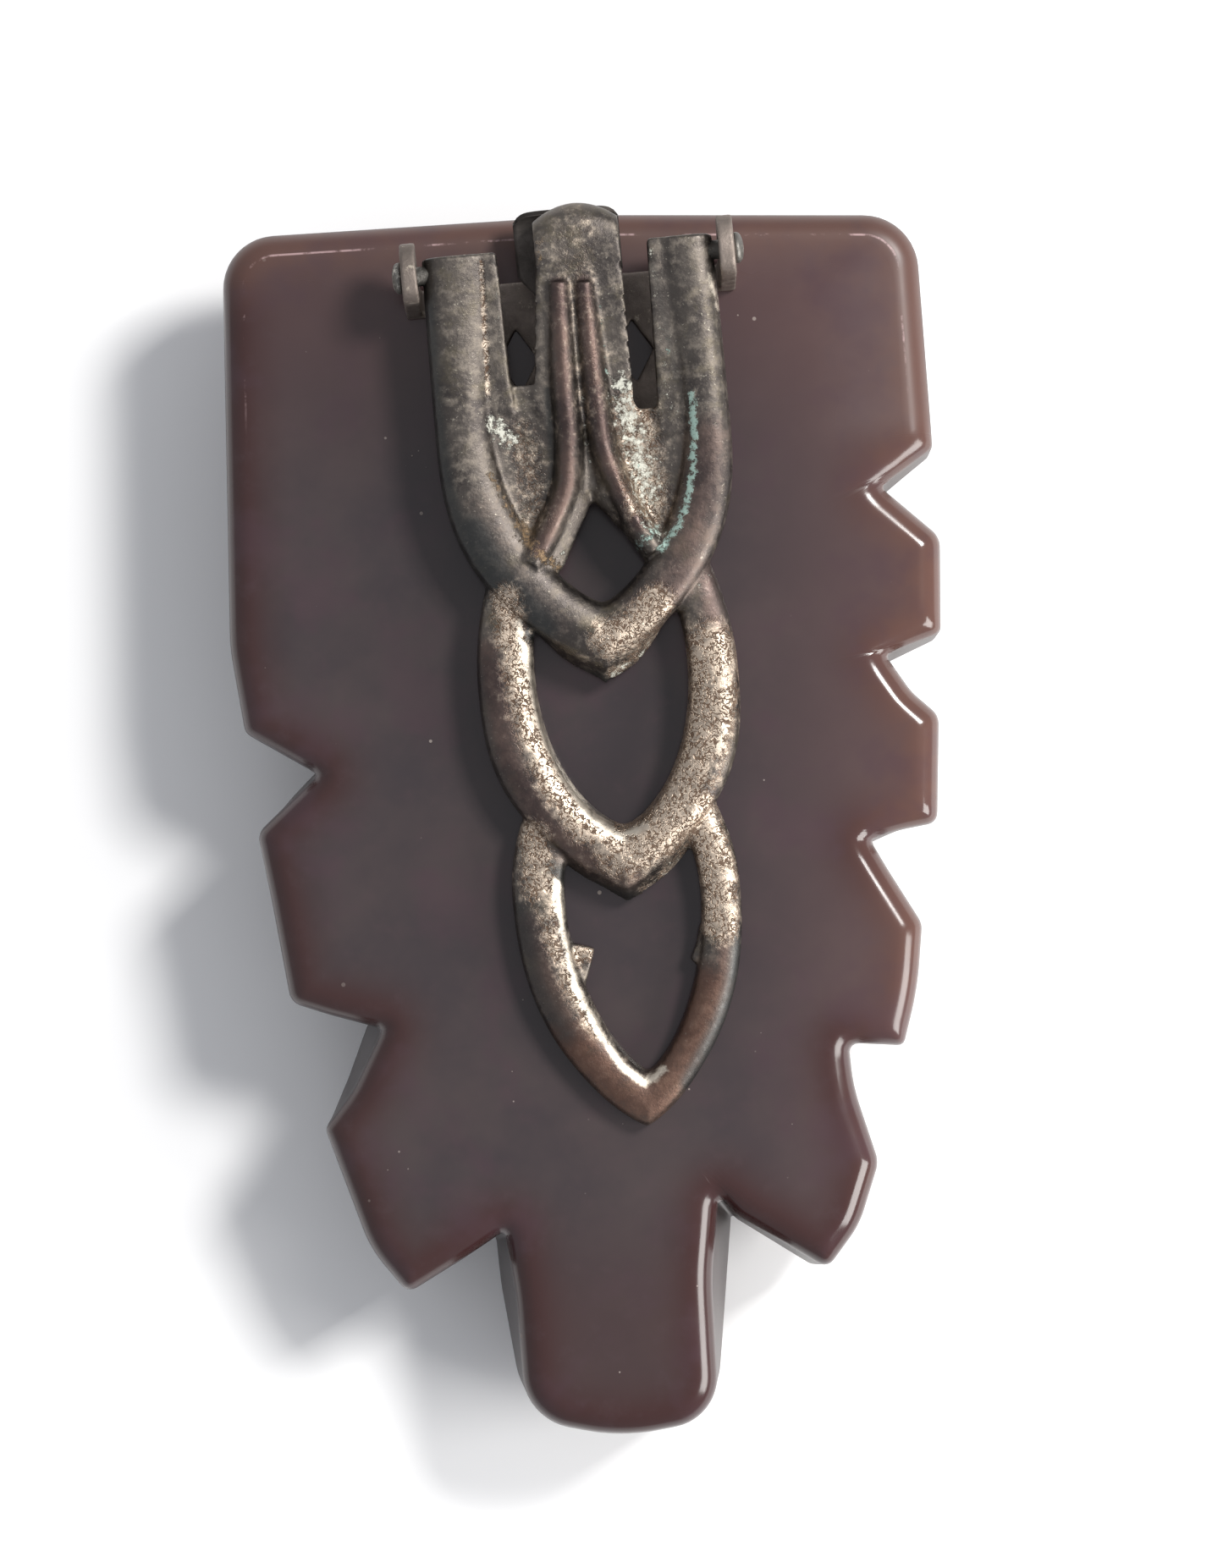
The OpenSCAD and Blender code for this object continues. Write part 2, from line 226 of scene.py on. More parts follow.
def roundedOutline(corners, radii, arcSteps=10, lineSteps=24):
    # straight runs joined by tangent arcs: each arc's centre lies on its corner's bisector
    before = np.roll(corners, 1, axis=0) - corners
    after = np.roll(corners, -1, axis=0) - corners
    lengthBefore = np.linalg.norm(before, axis=1)
    lengthAfter = np.linalg.norm(after, axis=1)
    a = before / lengthBefore[:, None]
    b = after / lengthAfter[:, None]
    half = np.arccos(np.clip((a * b).sum(axis=1), -1, 1)) / 2
    back = np.minimum(radii / np.tan(half), 0.45 * np.minimum(lengthBefore, lengthAfter))
    radius = back * np.tan(half)
    middle = a + b
    middle /= np.linalg.norm(middle, axis=1)[:, None]
    centre = corners + middle * (radius / np.sin(half))[:, None]
    fromCorner = corners + a * back[:, None] - centre
    toCorner = corners + b * back[:, None] - centre
    start = np.arctan2(fromCorner[:, 1], fromCorner[:, 0])
    sweep = np.arctan2(toCorner[:, 1], toCorner[:, 0]) - start
    sweep = (sweep + np.pi) % (2 * np.pi) - np.pi
    t = np.linspace(0, 1, arcSteps + 1)
    angle = start[:, None] + sweep[:, None] * t
    arcs = centre[:, None] + radius[:, None, None] * np.stack([np.cos(angle), np.sin(angle)], axis=-1)
    nextStart = np.roll(arcs[:, 0], -1, axis=0)
    u = np.linspace(0, 1, lineSteps + 1)[1:-1]
    lines = arcs[:, -1][:, None] * (1 - u[:, None]) + nextStart[:, None] * u[:, None]
    return np.concatenate([arcs, lines], axis=1).reshape(-1, 2), arcs.shape[1], lines.shape[1]


def resinOutlines(shape):
    # back and front outlines, point for point; arcs get more points, and both sides get the same number
    rows = np.array(shape["corners"])
    back, arcCount, lineCount = roundedOutline(rows[:, :2], rows[:, 2])
    front = roundedOutline(rows[:, :2] + rows[:, 3:5], rows[:, 2])[0]
    step = np.linalg.norm(np.roll(back, -1, axis=0) - back, axis=1)
    isArc = np.tile(np.arange(arcCount + lineCount) < arcCount - 1, len(rows))
    weight = np.where(isArc, np.maximum(step * 2.2, 0.035), step)
    total = np.concatenate([[0], np.cumsum(weight)])
    topIndex = arcCount // 2
    lowIndex = int(np.argmin(back[:, 1]))
    start, low, end = total[topIndex], total[lowIndex], total[-1] + total[topIndex]
    side = shape["around"] // 2
    marks = np.concatenate([np.linspace(a, b, side, endpoint=False) for a, b in ((start, low), (low, end))])
    index = np.interp(marks % total[-1], total, np.arange(len(total)))
    i = np.floor(index).astype(int) % len(back)
    f = (index - np.floor(index))[:, None]
    j = (i + 1) % len(back)
    return back[i] * (1 - f) + back[j] * f, front[i] * (1 - f) + front[j] * f


def edgeDistance(points, outline):
    # distance from each point to the nearest run of a closed outline
    a = outline
    run = np.roll(outline, -1, axis=0) - outline
    flat = points.reshape(-1, 2)
    away = flat[:, None] - a[None]
    t = np.clip((away * run).sum(axis=-1) / np.maximum((run ** 2).sum(axis=-1), 1e-12), 0, 1)
    gap = away - t[..., None] * run
    return np.sqrt((gap ** 2).sum(axis=-1).min(axis=1)).reshape(points.shape[:-1])


def frontHeight(x, y, shape):
    # barrel dome, cut flat at its crest, with V-edged wheel cuts that run out towards the middle
    across, along, cut = shape["domeAcross"], shape["domeAlong"], shape["crestCut"]
    ring = along - across + np.sqrt(across ** 2 - x ** 2)
    dome = along - cut - np.sqrt(np.maximum(ring ** 2 - y ** 2, 0))
    height = smoothMax(dome, np.zeros_like(dome), 0.06)
    wheel = shape["wheelRadius"]
    for gx, gy, turn in shape["grooves"]:
        way = np.array([math.cos(math.radians(turn)), math.sin(math.radians(turn))])
        wx, wy = gx + 0.55 * wheel * way[0], gy + 0.55 * wheel * way[1]
        crest = across - math.sqrt(across ** 2 - wx ** 2) + wy ** 2 / (2 * along) - cut
        low = crest + shape["grooveDepth"] - wheel
        run = (x - wx) * way[0] + (y - wy) * way[1]
        side = (y - wy) * way[0] - (x - wx) * way[1]
        reach = wheel * np.maximum(1 - np.sqrt(side ** 2 + 0.01) / shape["wheelHalf"], 0)
        disc = low + np.sqrt(np.maximum(reach ** 2 - run ** 2, 0))
        height = smoothMax(height, disc, shape["grooveSoft"])
    return height


def quarterRound(gap, radius):
    # drop of a rounded edge at a distance from it: a quarter circle
    inside = np.clip(radius - gap, 0, radius)
    return radius - np.sqrt(np.maximum(radius ** 2 - inside ** 2, 0))


def buildResin(shape):
    # rings of points from the back's spine out to its edge, down the leaning wall and in over the front
    back, front = resinOutlines(shape)
    count = shape["around"]
    twin = (-np.arange(count)) % count
    pair = 0.5 * (back[:, 1] + back[twin, 1])[:count // 2 + 1]
    half = 0.5 * (back[:, 0] - back[twin, 0])[:count // 2 + 1]
    share, lift, tipShare = shape["spine"]
    lobe = int(np.argmin(np.where(half > 6, pair, 99)))
    notch = lobe + int(np.argmax(pair[lobe:]))
    spineY = np.minimum.accumulate(share * pair + lift)
    spineY[notch:] = np.minimum.accumulate(spineY[notch] + tipShare * (pair[notch:] - pair[notch]))
    spineY = np.concatenate([spineY, spineY[1:-1][::-1]])
    spine = np.stack([np.full(count, 0.0), spineY], axis=-1)
    edgeSteps = shape["backRound"] * (1 - np.cos(np.linspace(0, 0.5 * np.pi, 10)))
    edgeSteps = np.concatenate([edgeSteps, [1.3, 1.7]])

    def ringsInward(outline, steps, inner):
        way = spine - outline
        length = np.linalg.norm(way, axis=1)
        near = outline[None] + way[None] * (steps[:, None] / length)[..., None]
        start = steps[-1] / length
        share = np.linspace(0, 1, inner + 1)[1:]
        t = start + (1 - start) * share[:, None]
        return np.concatenate([near, outline[None] + way[None] * t[..., None]])

    backRings = ringsInward(back, edgeSteps, 12)[::-1]
    gap = edgeDistance(backRings, back)
    backHeight = backTop - quarterRound(gap, shape["backRound"])
    frontRings = ringsInward(front, 0.6 * edgeSteps, 74)
    closeRings = len(edgeSteps) + 4
    rimGap = np.full(frontRings.shape[:2], 9.0)
    rimGap[:closeRings] = edgeDistance(frontRings[:closeRings], front)
    surface = frontHeight(frontRings[..., 0], frontRings[..., 1], shape)
    surface = np.minimum(surface, backTop - shape["backRound"] - 0.7 - shape["rimRound"])
    frontZ = surface + quarterRound(rimGap, shape["rimRound"])
    wallTop, wallLow = backHeight[-1], frontZ[0]
    depth = np.linspace(0, 1, 7)[1:-1, None]
    wall = back[None] * (1 - depth[..., None]) + front[None] * depth[..., None]
    wallHeight = wallTop * (1 - depth) + wallLow * depth
    frontGap = np.linalg.norm(frontRings - front[None], axis=-1)
    edgeGap = np.concatenate([gap, np.zeros(wall.shape[:2]), frontGap])
    rings = np.concatenate([backRings, wall, frontRings])
    heights = np.concatenate([backHeight, wallHeight, frontZ])
    points = np.concatenate([rings, heights[..., None], edgeGap[..., None]], axis=-1)
    faces = gridFaces(len(points), count)
    return points, faces


def weldSpine(points, faces, count):
    # the first and last rings lie folded on the spine, so each left point is joined to its right twin
    rows, width = len(points), points.shape[-1]
    twin = (-np.arange(count)) % count
    keep = np.minimum(np.arange(count), twin)
    remap = np.arange(rows * count).reshape(rows, count)
    remap[0] = remap[0][keep]
    remap[-1] = remap[-1][keep]
    faces = remap.ravel()[faces]
    used, packed = np.unique(faces, return_inverse=True)
    faces = packed.reshape(faces.shape)
    return points.reshape(-1, width)[used], faces


resinPoints, resinFaces = buildResin(resinShape)
resinPoints, resinFaces = weldSpine(resinPoints, resinFaces, resinShape["around"])
resin = makeMesh("carvedResin", resinPoints[:, :3] * mm, [resinFaces[:, ::-1]])
paintPoints(resin, "edgeGlow", np.exp(-resinPoints[:, 3] / resinShape["glowDepth"]))
paintPoints(resin, "wallTurn", wallTurn(resin))
print("resin", len(resin.data.polygons) * 2, "triangles")
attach(resin, "ornament")
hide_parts("resin_ornament")


# places are across, along and over the underside, in mm, from the middle of the hinge axis
leverShape = {
    "under": (2.1, 0.05625),          # height of the underside over the back at the hinge, and its slope
    "armEnd": 0.68,
    "voxel": 0.098, "relax": 3,
    # half width, widest place, point, centre and the two powers of each leaf edge
    "armsOuter": (6.0, -6.8, -16.5, 0.0, 2.7, 1.08), "armsInner": (3.9, -5.8, -13.8, 0.2, 2.1, 1.4),
    "ringOuter": (5.32, -16.9, -25.5, 0.1, 2.8, 1.04), "ringInner": (3.12, -16.4, -22.9, 0.26, 2.1, 1.5),
    "lastOuter": (4.66, -25.6, -35.2, 0.05, 2.4, 1.2), "lastInner": (2.78, -25.9, -33.0, 0.3, 1.9, 1.35),
    "tongue": (0.42, 1.76),           # its middle and half width at the roll
    "roll": (1.46, 3.56, 1.0),        # centre along, top height and radius of the roll
    # each rib's path, its half widths down its length, and the tops and feet of both
    "leftRib": ([(-0.45, -0.75), (-0.53, -3), (-0.6, -5.2), (-0.6, -7), (-0.85, -8.9), (-1.45, -10.2),
                 (-2.1, -11.3), (-2.6, -12.0)], (0.5, 0.61, 0.61, 0.61, 0.64, 0.66)),
    "rightRib": ([(0.58, -0.85), (0.6, -3), (0.66, -5.6), (0.8, -7.6), (1.3, -9.4), (1.86, -10.8),
                  (2.5, -11.9)], (0.47, 0.56, 0.59, 0.6, 0.62, 0.6)),
    "ribTop": 1.76, "ribFeet": (1.0, 0.3),
    # heights of the web, as (distance below the hinge, height), and its thickness
    "webHeights": [(-1, 1.42), (1, 1.4), (4.5, 1.2), (7, 1.05), (9, 0.95), (13, 0.8)], "webThick": 0.7,
    # slots: side, outer edge, closed end, and the window's corner beside them (across, along)
    "slots": ((-1, -2.78, -4.82, (-1.35, -12.3)), (1, 3.18, -6.2, (2.05, -12.0))),
    "slotRound": (0.52, 2.68, -6.25),  # radius, middle and end of the right slot's round end
    "teeth": ([(-3.0, -26.9), (-2.35, -27.5), (-1.45, -27.8), (-1.62, -28.4), (-1.95, -29.25), (-2.8, -29.0)],
              [(3.3, -27.1), (2.9, -27.3), (2.72, -28.0), (2.42, -28.6), (2.7, -28.95), (3.5, -28.9)]),
    # leaf bands under the chevron: where the outer and inner ends hide, how far they close in,
    # the heights down the band, and the width of the apron round the point
    "ringEnds": ((-10.8, -12.2), 1.5, (0.95, 1.15, 1.35, 1.55), 0.62),
    "lastEnds": ((-21.2, -22.4), 1.25, (0.8, 0.95, 1.1, 1.25), 0.12),
}


def underside(y):
    # straight line from the hinge down to the tip
    return leverShape["under"][0] + leverShape["under"][1] * y


def leafEdge(leaf, topY, closing, count=90):
    # half width falls as (1 - t^p)^(1/q) from the widest place to the point, and by a soft curve above it
    half, widest, point, centre, p, q = leaf
    yHigh = np.linspace(topY, widest, count // 3, endpoint=False)
    t = np.sin(np.linspace(0, 0.5 * np.pi, count - count // 3))
    y = np.concatenate([yHigh, widest + (point - widest) * t])
    share = np.clip((widest - y) / (widest - point), 0, 1)
    width = half * np.maximum(1 - share ** p, 0) ** (1 / q)
    width = width - closing * np.clip((y - widest) / (topY - widest), 0, 1) ** 2
    left = np.stack([centre - width, y], axis=-1)
    right = np.stack([centre + width, y], axis=-1)
    return np.concatenate([left, right[-2::-1]])


def bandSolid(inner, outer, low, flanks, top, apron, crown=2.3, across=21):
    # flat below; each flank rises to its own height, and a superellipse carries the top between them;
    # where the apron is wide its side runs down and out from a softer shoulder
    n = np.linspace(-1, 1, across)
    share = (n + 1) / 2
    flankIn, flankOut = flanks
    places = inner[:, None] * (1 - share[:, None]) + outer[:, None] * share[:, None]
    hard = (1 - np.abs(n) ** crown) ** (1 / crown)
    soft = 1 - n ** 2
    blend = np.clip(apron / 0.6, 0, 1)[:, None] * (n > 0)
    rise = hard * (1 - blend) + soft * blend
    base = flankIn[:, None] * (1 - share) + flankOut[:, None] * share
    height = base + (top[:, None] - base) * rise
    crest = np.concatenate([places, height[..., None]], axis=-1)
    way = outer - inner
    way /= np.linalg.norm(way, axis=1)[:, None]
    footIn = np.concatenate([inner - way * 0.1 * apron[:, None], low[:, None]], axis=-1)[:, None]
    footOut = np.concatenate([outer + way * apron[:, None], low[:, None]], axis=-1)[:, None]
    return tubeSolid(np.concatenate([footIn, crest, footOut], axis=1))


def armBands():
    # both arms and the chevron as one band from the left hinge end round the point to the right one
    outer = leafEdge(leverShape["armsOuter"], leverShape["armEnd"], 0.1)
    inner = leafEdge(leverShape["armsInner"], leverShape["armEnd"], 0.3)
    low = underside(outer[:, 1])
    point = glide(-outer[:, 1], 11.0, 16.0)
    top = low + 1.58 + 0.1 * point
    flankIn = low + 1.3 - 0.55 * glide(-outer[:, 1], 1.0, 9.5)
    flankOut = low + 0.7 + 0.25 * point
    rightSide = 0.65 + 0.35 * glide(outer[:, 0], -1.0, 0.8)
    apron = 0.68 * glide(-outer[:, 1], 14.6, 16.0) * rightSide
    return bandSolid(inner, outer, low, (flankIn, flankOut), top, apron)


def ringBand(outerLeaf, innerLeaf, tops, closing, rises, apronWidth):
    # a leaf-shaped band; its hidden upper ends lie under the band before it
    outer = leafEdge(outerLeaf, tops[0], closing)
    inner = leafEdge(innerLeaf, tops[1], 0.6 * closing)
    low = underside(outer[:, 1])
    share = (tops[0] - outer[:, 1]) / (tops[0] - outerLeaf[2])
    top = low + np.interp(share, [0, 0.3, 0.6, 1], rises)
    flank = low + 0.4 * (top - low)
    lean = 0.7 + 0.3 * glide(outer[:, 0], -1.0, 0.8)
    apron = apronWidth * glide(share, 0.8, 0.95) * lean
    flankOut = flank + 0.25 * (top - low) * glide(share, 0.8, 0.95)
    return bandSolid(inner, outer, low, (flank, flankOut), top, apron)


def sheetSolid(left, right, lows, highs, dish=0.0, count=14):
    # a sheet between two edge paths with its own heights over the underside, dished by a parabola
    share = np.linspace(0, 1, count)[None, :]
    places = left[:, None] * (1 - share[..., None]) + right[:, None] * share[..., None]
    base = underside(places[..., 1])
    dip = dish * 4 * share * (1 - share)
    high = base + (highs[0][:, None] * (1 - share) + highs[1][:, None] * share) - dip
    low = base + (lows[0][:, None] * (1 - share) + lows[1][:, None] * share) - dip
    return slabSolid(np.dstack([places, high]), np.dstack([places, low]))


def atHeights(path, knots):
    # a height at every point of a path, by straight steps between (distance below the hinge, height) knots
    knots = np.array(knots)
    return np.interp(-path[:, 1], knots[:, 0], knots[:, 1])


def ribSolid(path, halfWidths, rise, low):
    # a half-round rib along a path, its section square to the path
    way = np.gradient(path, axis=0)
    way /= np.linalg.norm(way, axis=1)[:, None]
    side = np.stack([-way[:, 1], way[:, 0]], axis=-1)
    angle = np.linspace(0, np.pi, 13)
    width = np.interp(np.linspace(0, 1, len(path)), np.linspace(0, 1, len(halfWidths)), halfWidths)
    places = path[:, None] + side[:, None] * (width[:, None] * np.cos(angle))[..., None]
    base = underside(places[..., 1])
    foot = np.linspace(0, 1, len(path))[:, None]
    foot = low[0] * (1 - foot) + low[1] * foot
    crest = np.dstack([places, base + foot + (rise - foot) * np.sin(angle) ** 0.85])
    return tubeSolid(crest)


def rolledTongue():
    # the tongue runs up to the hinge and rolls down in a domed scroll with an arched end
    middle, half = leverShape["tongue"]
    rollAlong, topZ, radius = leverShape["roll"]
    n = np.linspace(-1, 1, 31)
    bulge = n ** 2
    flatY = np.linspace(-9.2, 1.4, 34)[:-1]
    angle = np.radians(np.linspace(90, -95, 30))
    rollRadius = radius - 0.3 * bulge
    rollY = rollAlong - 0.4 * bulge
    widen = np.interp(-flatY, [0, 5, 7.5], [0, 0.5, 0.5])[:, None] * (n < 0) * -n
    taper = 1 - 0.72 * glide(-flatY, 5.4, 9.2)[:, None]

    def skin(inset):
        share = glide(flatY, 0.2, 1.4)[:, None]
        flatX = middle + (n * (half - 0.3 * inset) - widen) * taper
        flat = flatY[:, None] - share * 0.4 * bulge
        rise = np.interp(-flatY, [-1.4, 1.5, 4.5, 7.5], [1.46, 1.42, 1.12, 1.0])[:, None]
        flatZ = (underside(flatY)[:, None] + rise) * (1 - share) + topZ * share - inset + 0 * n
        turnX = middle + n * (half - 0.3 * inset) + 0 * angle[:, None]
        turnY = rollY + (rollRadius - inset) * np.cos(angle)[:, None]
        turnZ = topZ - 0.12 * bulge - rollRadius + (rollRadius - inset) * np.sin(angle)[:, None]
        return np.dstack([np.vstack([flatX, turnX]), np.vstack([flat, turnY]), np.vstack([flatZ, turnZ])])

    return slabSolid(skin(0.0), skin(0.6))


def teeth():
    # two small gripping points bent in from the last ring
    solids = []
    for corners in leverShape["teeth"]:
        ring = np.array(corners)
        centre = ring.mean(axis=0)
        levels = []
        for size, height in ((1.0, 0.1), (1.0, 0.42), (0.92, 0.52)):
            spots = centre + (ring - centre) * size
            levels.append(np.column_stack([spots, underside(spots[:, 1]) + height]))
        solids.append(tubeSolid(np.stack(levels)))
    return solids


ribPaths = {side: curveThrough(leverShape[rib][0], 70) for side, rib in ((-1, "leftRib"), (1, "rightRib"))}


def webSheets():
    # the sheet between the arms: a strip beside each slot, a web below it, and a bevel to the diamond window
    inner = leafEdge(leverShape["armsInner"], leverShape["armEnd"], 0.3, 240)
    thick = leverShape["webThick"]
    sheets = []
    for side, slotX, slotY, (cornerX, cornerY) in leverShape["slots"]:
        ribPath = ribPaths[side]
        arm = inner[(inner[:, 0] - 0.2) * side > 0]
        arm = arm[np.argsort(-arm[:, 1])]
        y = np.linspace(leverShape["armEnd"], slotY - 1.0, 40)
        outerEdge = np.column_stack([np.interp(-y, -arm[:, 1], arm[:, 0]) + 0.35 * side, y])
        slotEdge = np.column_stack([np.full(40, slotX) + 0.06 * side * (y + 3) / 3, y])
        rise = atHeights(outerEdge, leverShape["webHeights"])
        sheets.append(sheetSolid(outerEdge, slotEdge, (rise - thick, rise - thick), (rise, rise)))
        y = np.linspace(slotY, cornerY, 50)
        outerEdge = np.column_stack([np.interp(-y, -arm[:, 1], arm[:, 0]) + 0.35 * side, y])
        ribEdge = np.column_stack([np.interp(-y, -ribPath[:, 1], ribPath[:, 0]), y])
        outerEdge[:, 1] += 0.15 * np.exp(-((y - slotY) / 0.3) ** 2)     # the slot's rounded end
        rise = atHeights(outerEdge, leverShape["webHeights"])
        sheets.append(sheetSolid(outerEdge, ribEdge, (rise - thick, rise - thick), (rise, rise), 0.16, 22))
        # bevel from the rib's crest down to the window
        crest = ribPath[ribPath[:, 1] < -6.9]
        t = np.linspace(0, 1, len(crest))
        edge = np.column_stack([np.interp(t, [0, 0.35, 1], [0.1, 0.11, cornerX]),
                                np.interp(t, [0, 0.35, 1], [-8.2, -9.6, cornerY])])
        full = np.ones(len(crest))
        lows, highs = (0.35 * full, 0.2 * full), (1.55 * full, 0.75 * full)
        sheets.append(sheetSolid(crest, edge, lows, highs, -0.1, 12))
    # round fillets make the right slot's end a half circle
    turn = np.radians(np.linspace(0, 90, 12))
    radius, middleX, endY = leverShape["slotRound"]
    for side in (-1, 1):
        arc = np.column_stack([middleX + side * radius * np.cos(turn), endY + radius * (1 - np.sin(turn))])
        corner = np.column_stack([np.full(12, middleX + side * (radius + 0.12)), arc[:, 1] - 0.1])
        rise = atHeights(arc, leverShape["webHeights"])
        sheets.append(sheetSolid(corner, arc, (rise - thick, rise - thick), (rise, rise), count=6))
    return sheets


def buildLever():
    # all of the casting's solids, melted into one skin
    solids = [armBands(), rolledTongue()]
    for leaf in ("ring", "last"):
        outerLeaf, innerLeaf = leverShape[leaf + "Outer"], leverShape[leaf + "Inner"]
        solids.append(ringBand(outerLeaf, innerLeaf, *leverShape[leaf + "Ends"]))
    solids += webSheets()
    for side, rib in ((-1, "leftRib"), (1, "rightRib")):
        halfWidths = leverShape[rib][1]
        solids.append(ribSolid(ribPaths[side], halfWidths, leverShape["ribTop"], leverShape["ribFeet"]))
    solids += teeth()
    return fuseSolids("lever", solids, leverShape["voxel"], leverShape["relax"])


def strokeMask(points, strokes):
    # the strongest of several soft brush strokes: strength times exp(-(distance / radius)^2)
    total = np.zeros(len(points))
    for radius, strength, path in strokes:
        path = np.array(path, dtype=float)
        best = np.full(len(points), 99.0)
        for a, b in zip(path[:-1], path[1:]):
            run = b - a
            t = np.clip((points[:, :2] - a) @ run / (run @ run), 0, 1)
            best = np.minimum(best, np.linalg.norm(points[:, :2] - a - t[:, None] * run, axis=1))
        total = np.maximum(total, strength * np.exp(-(best / radius) ** 2))
    return total
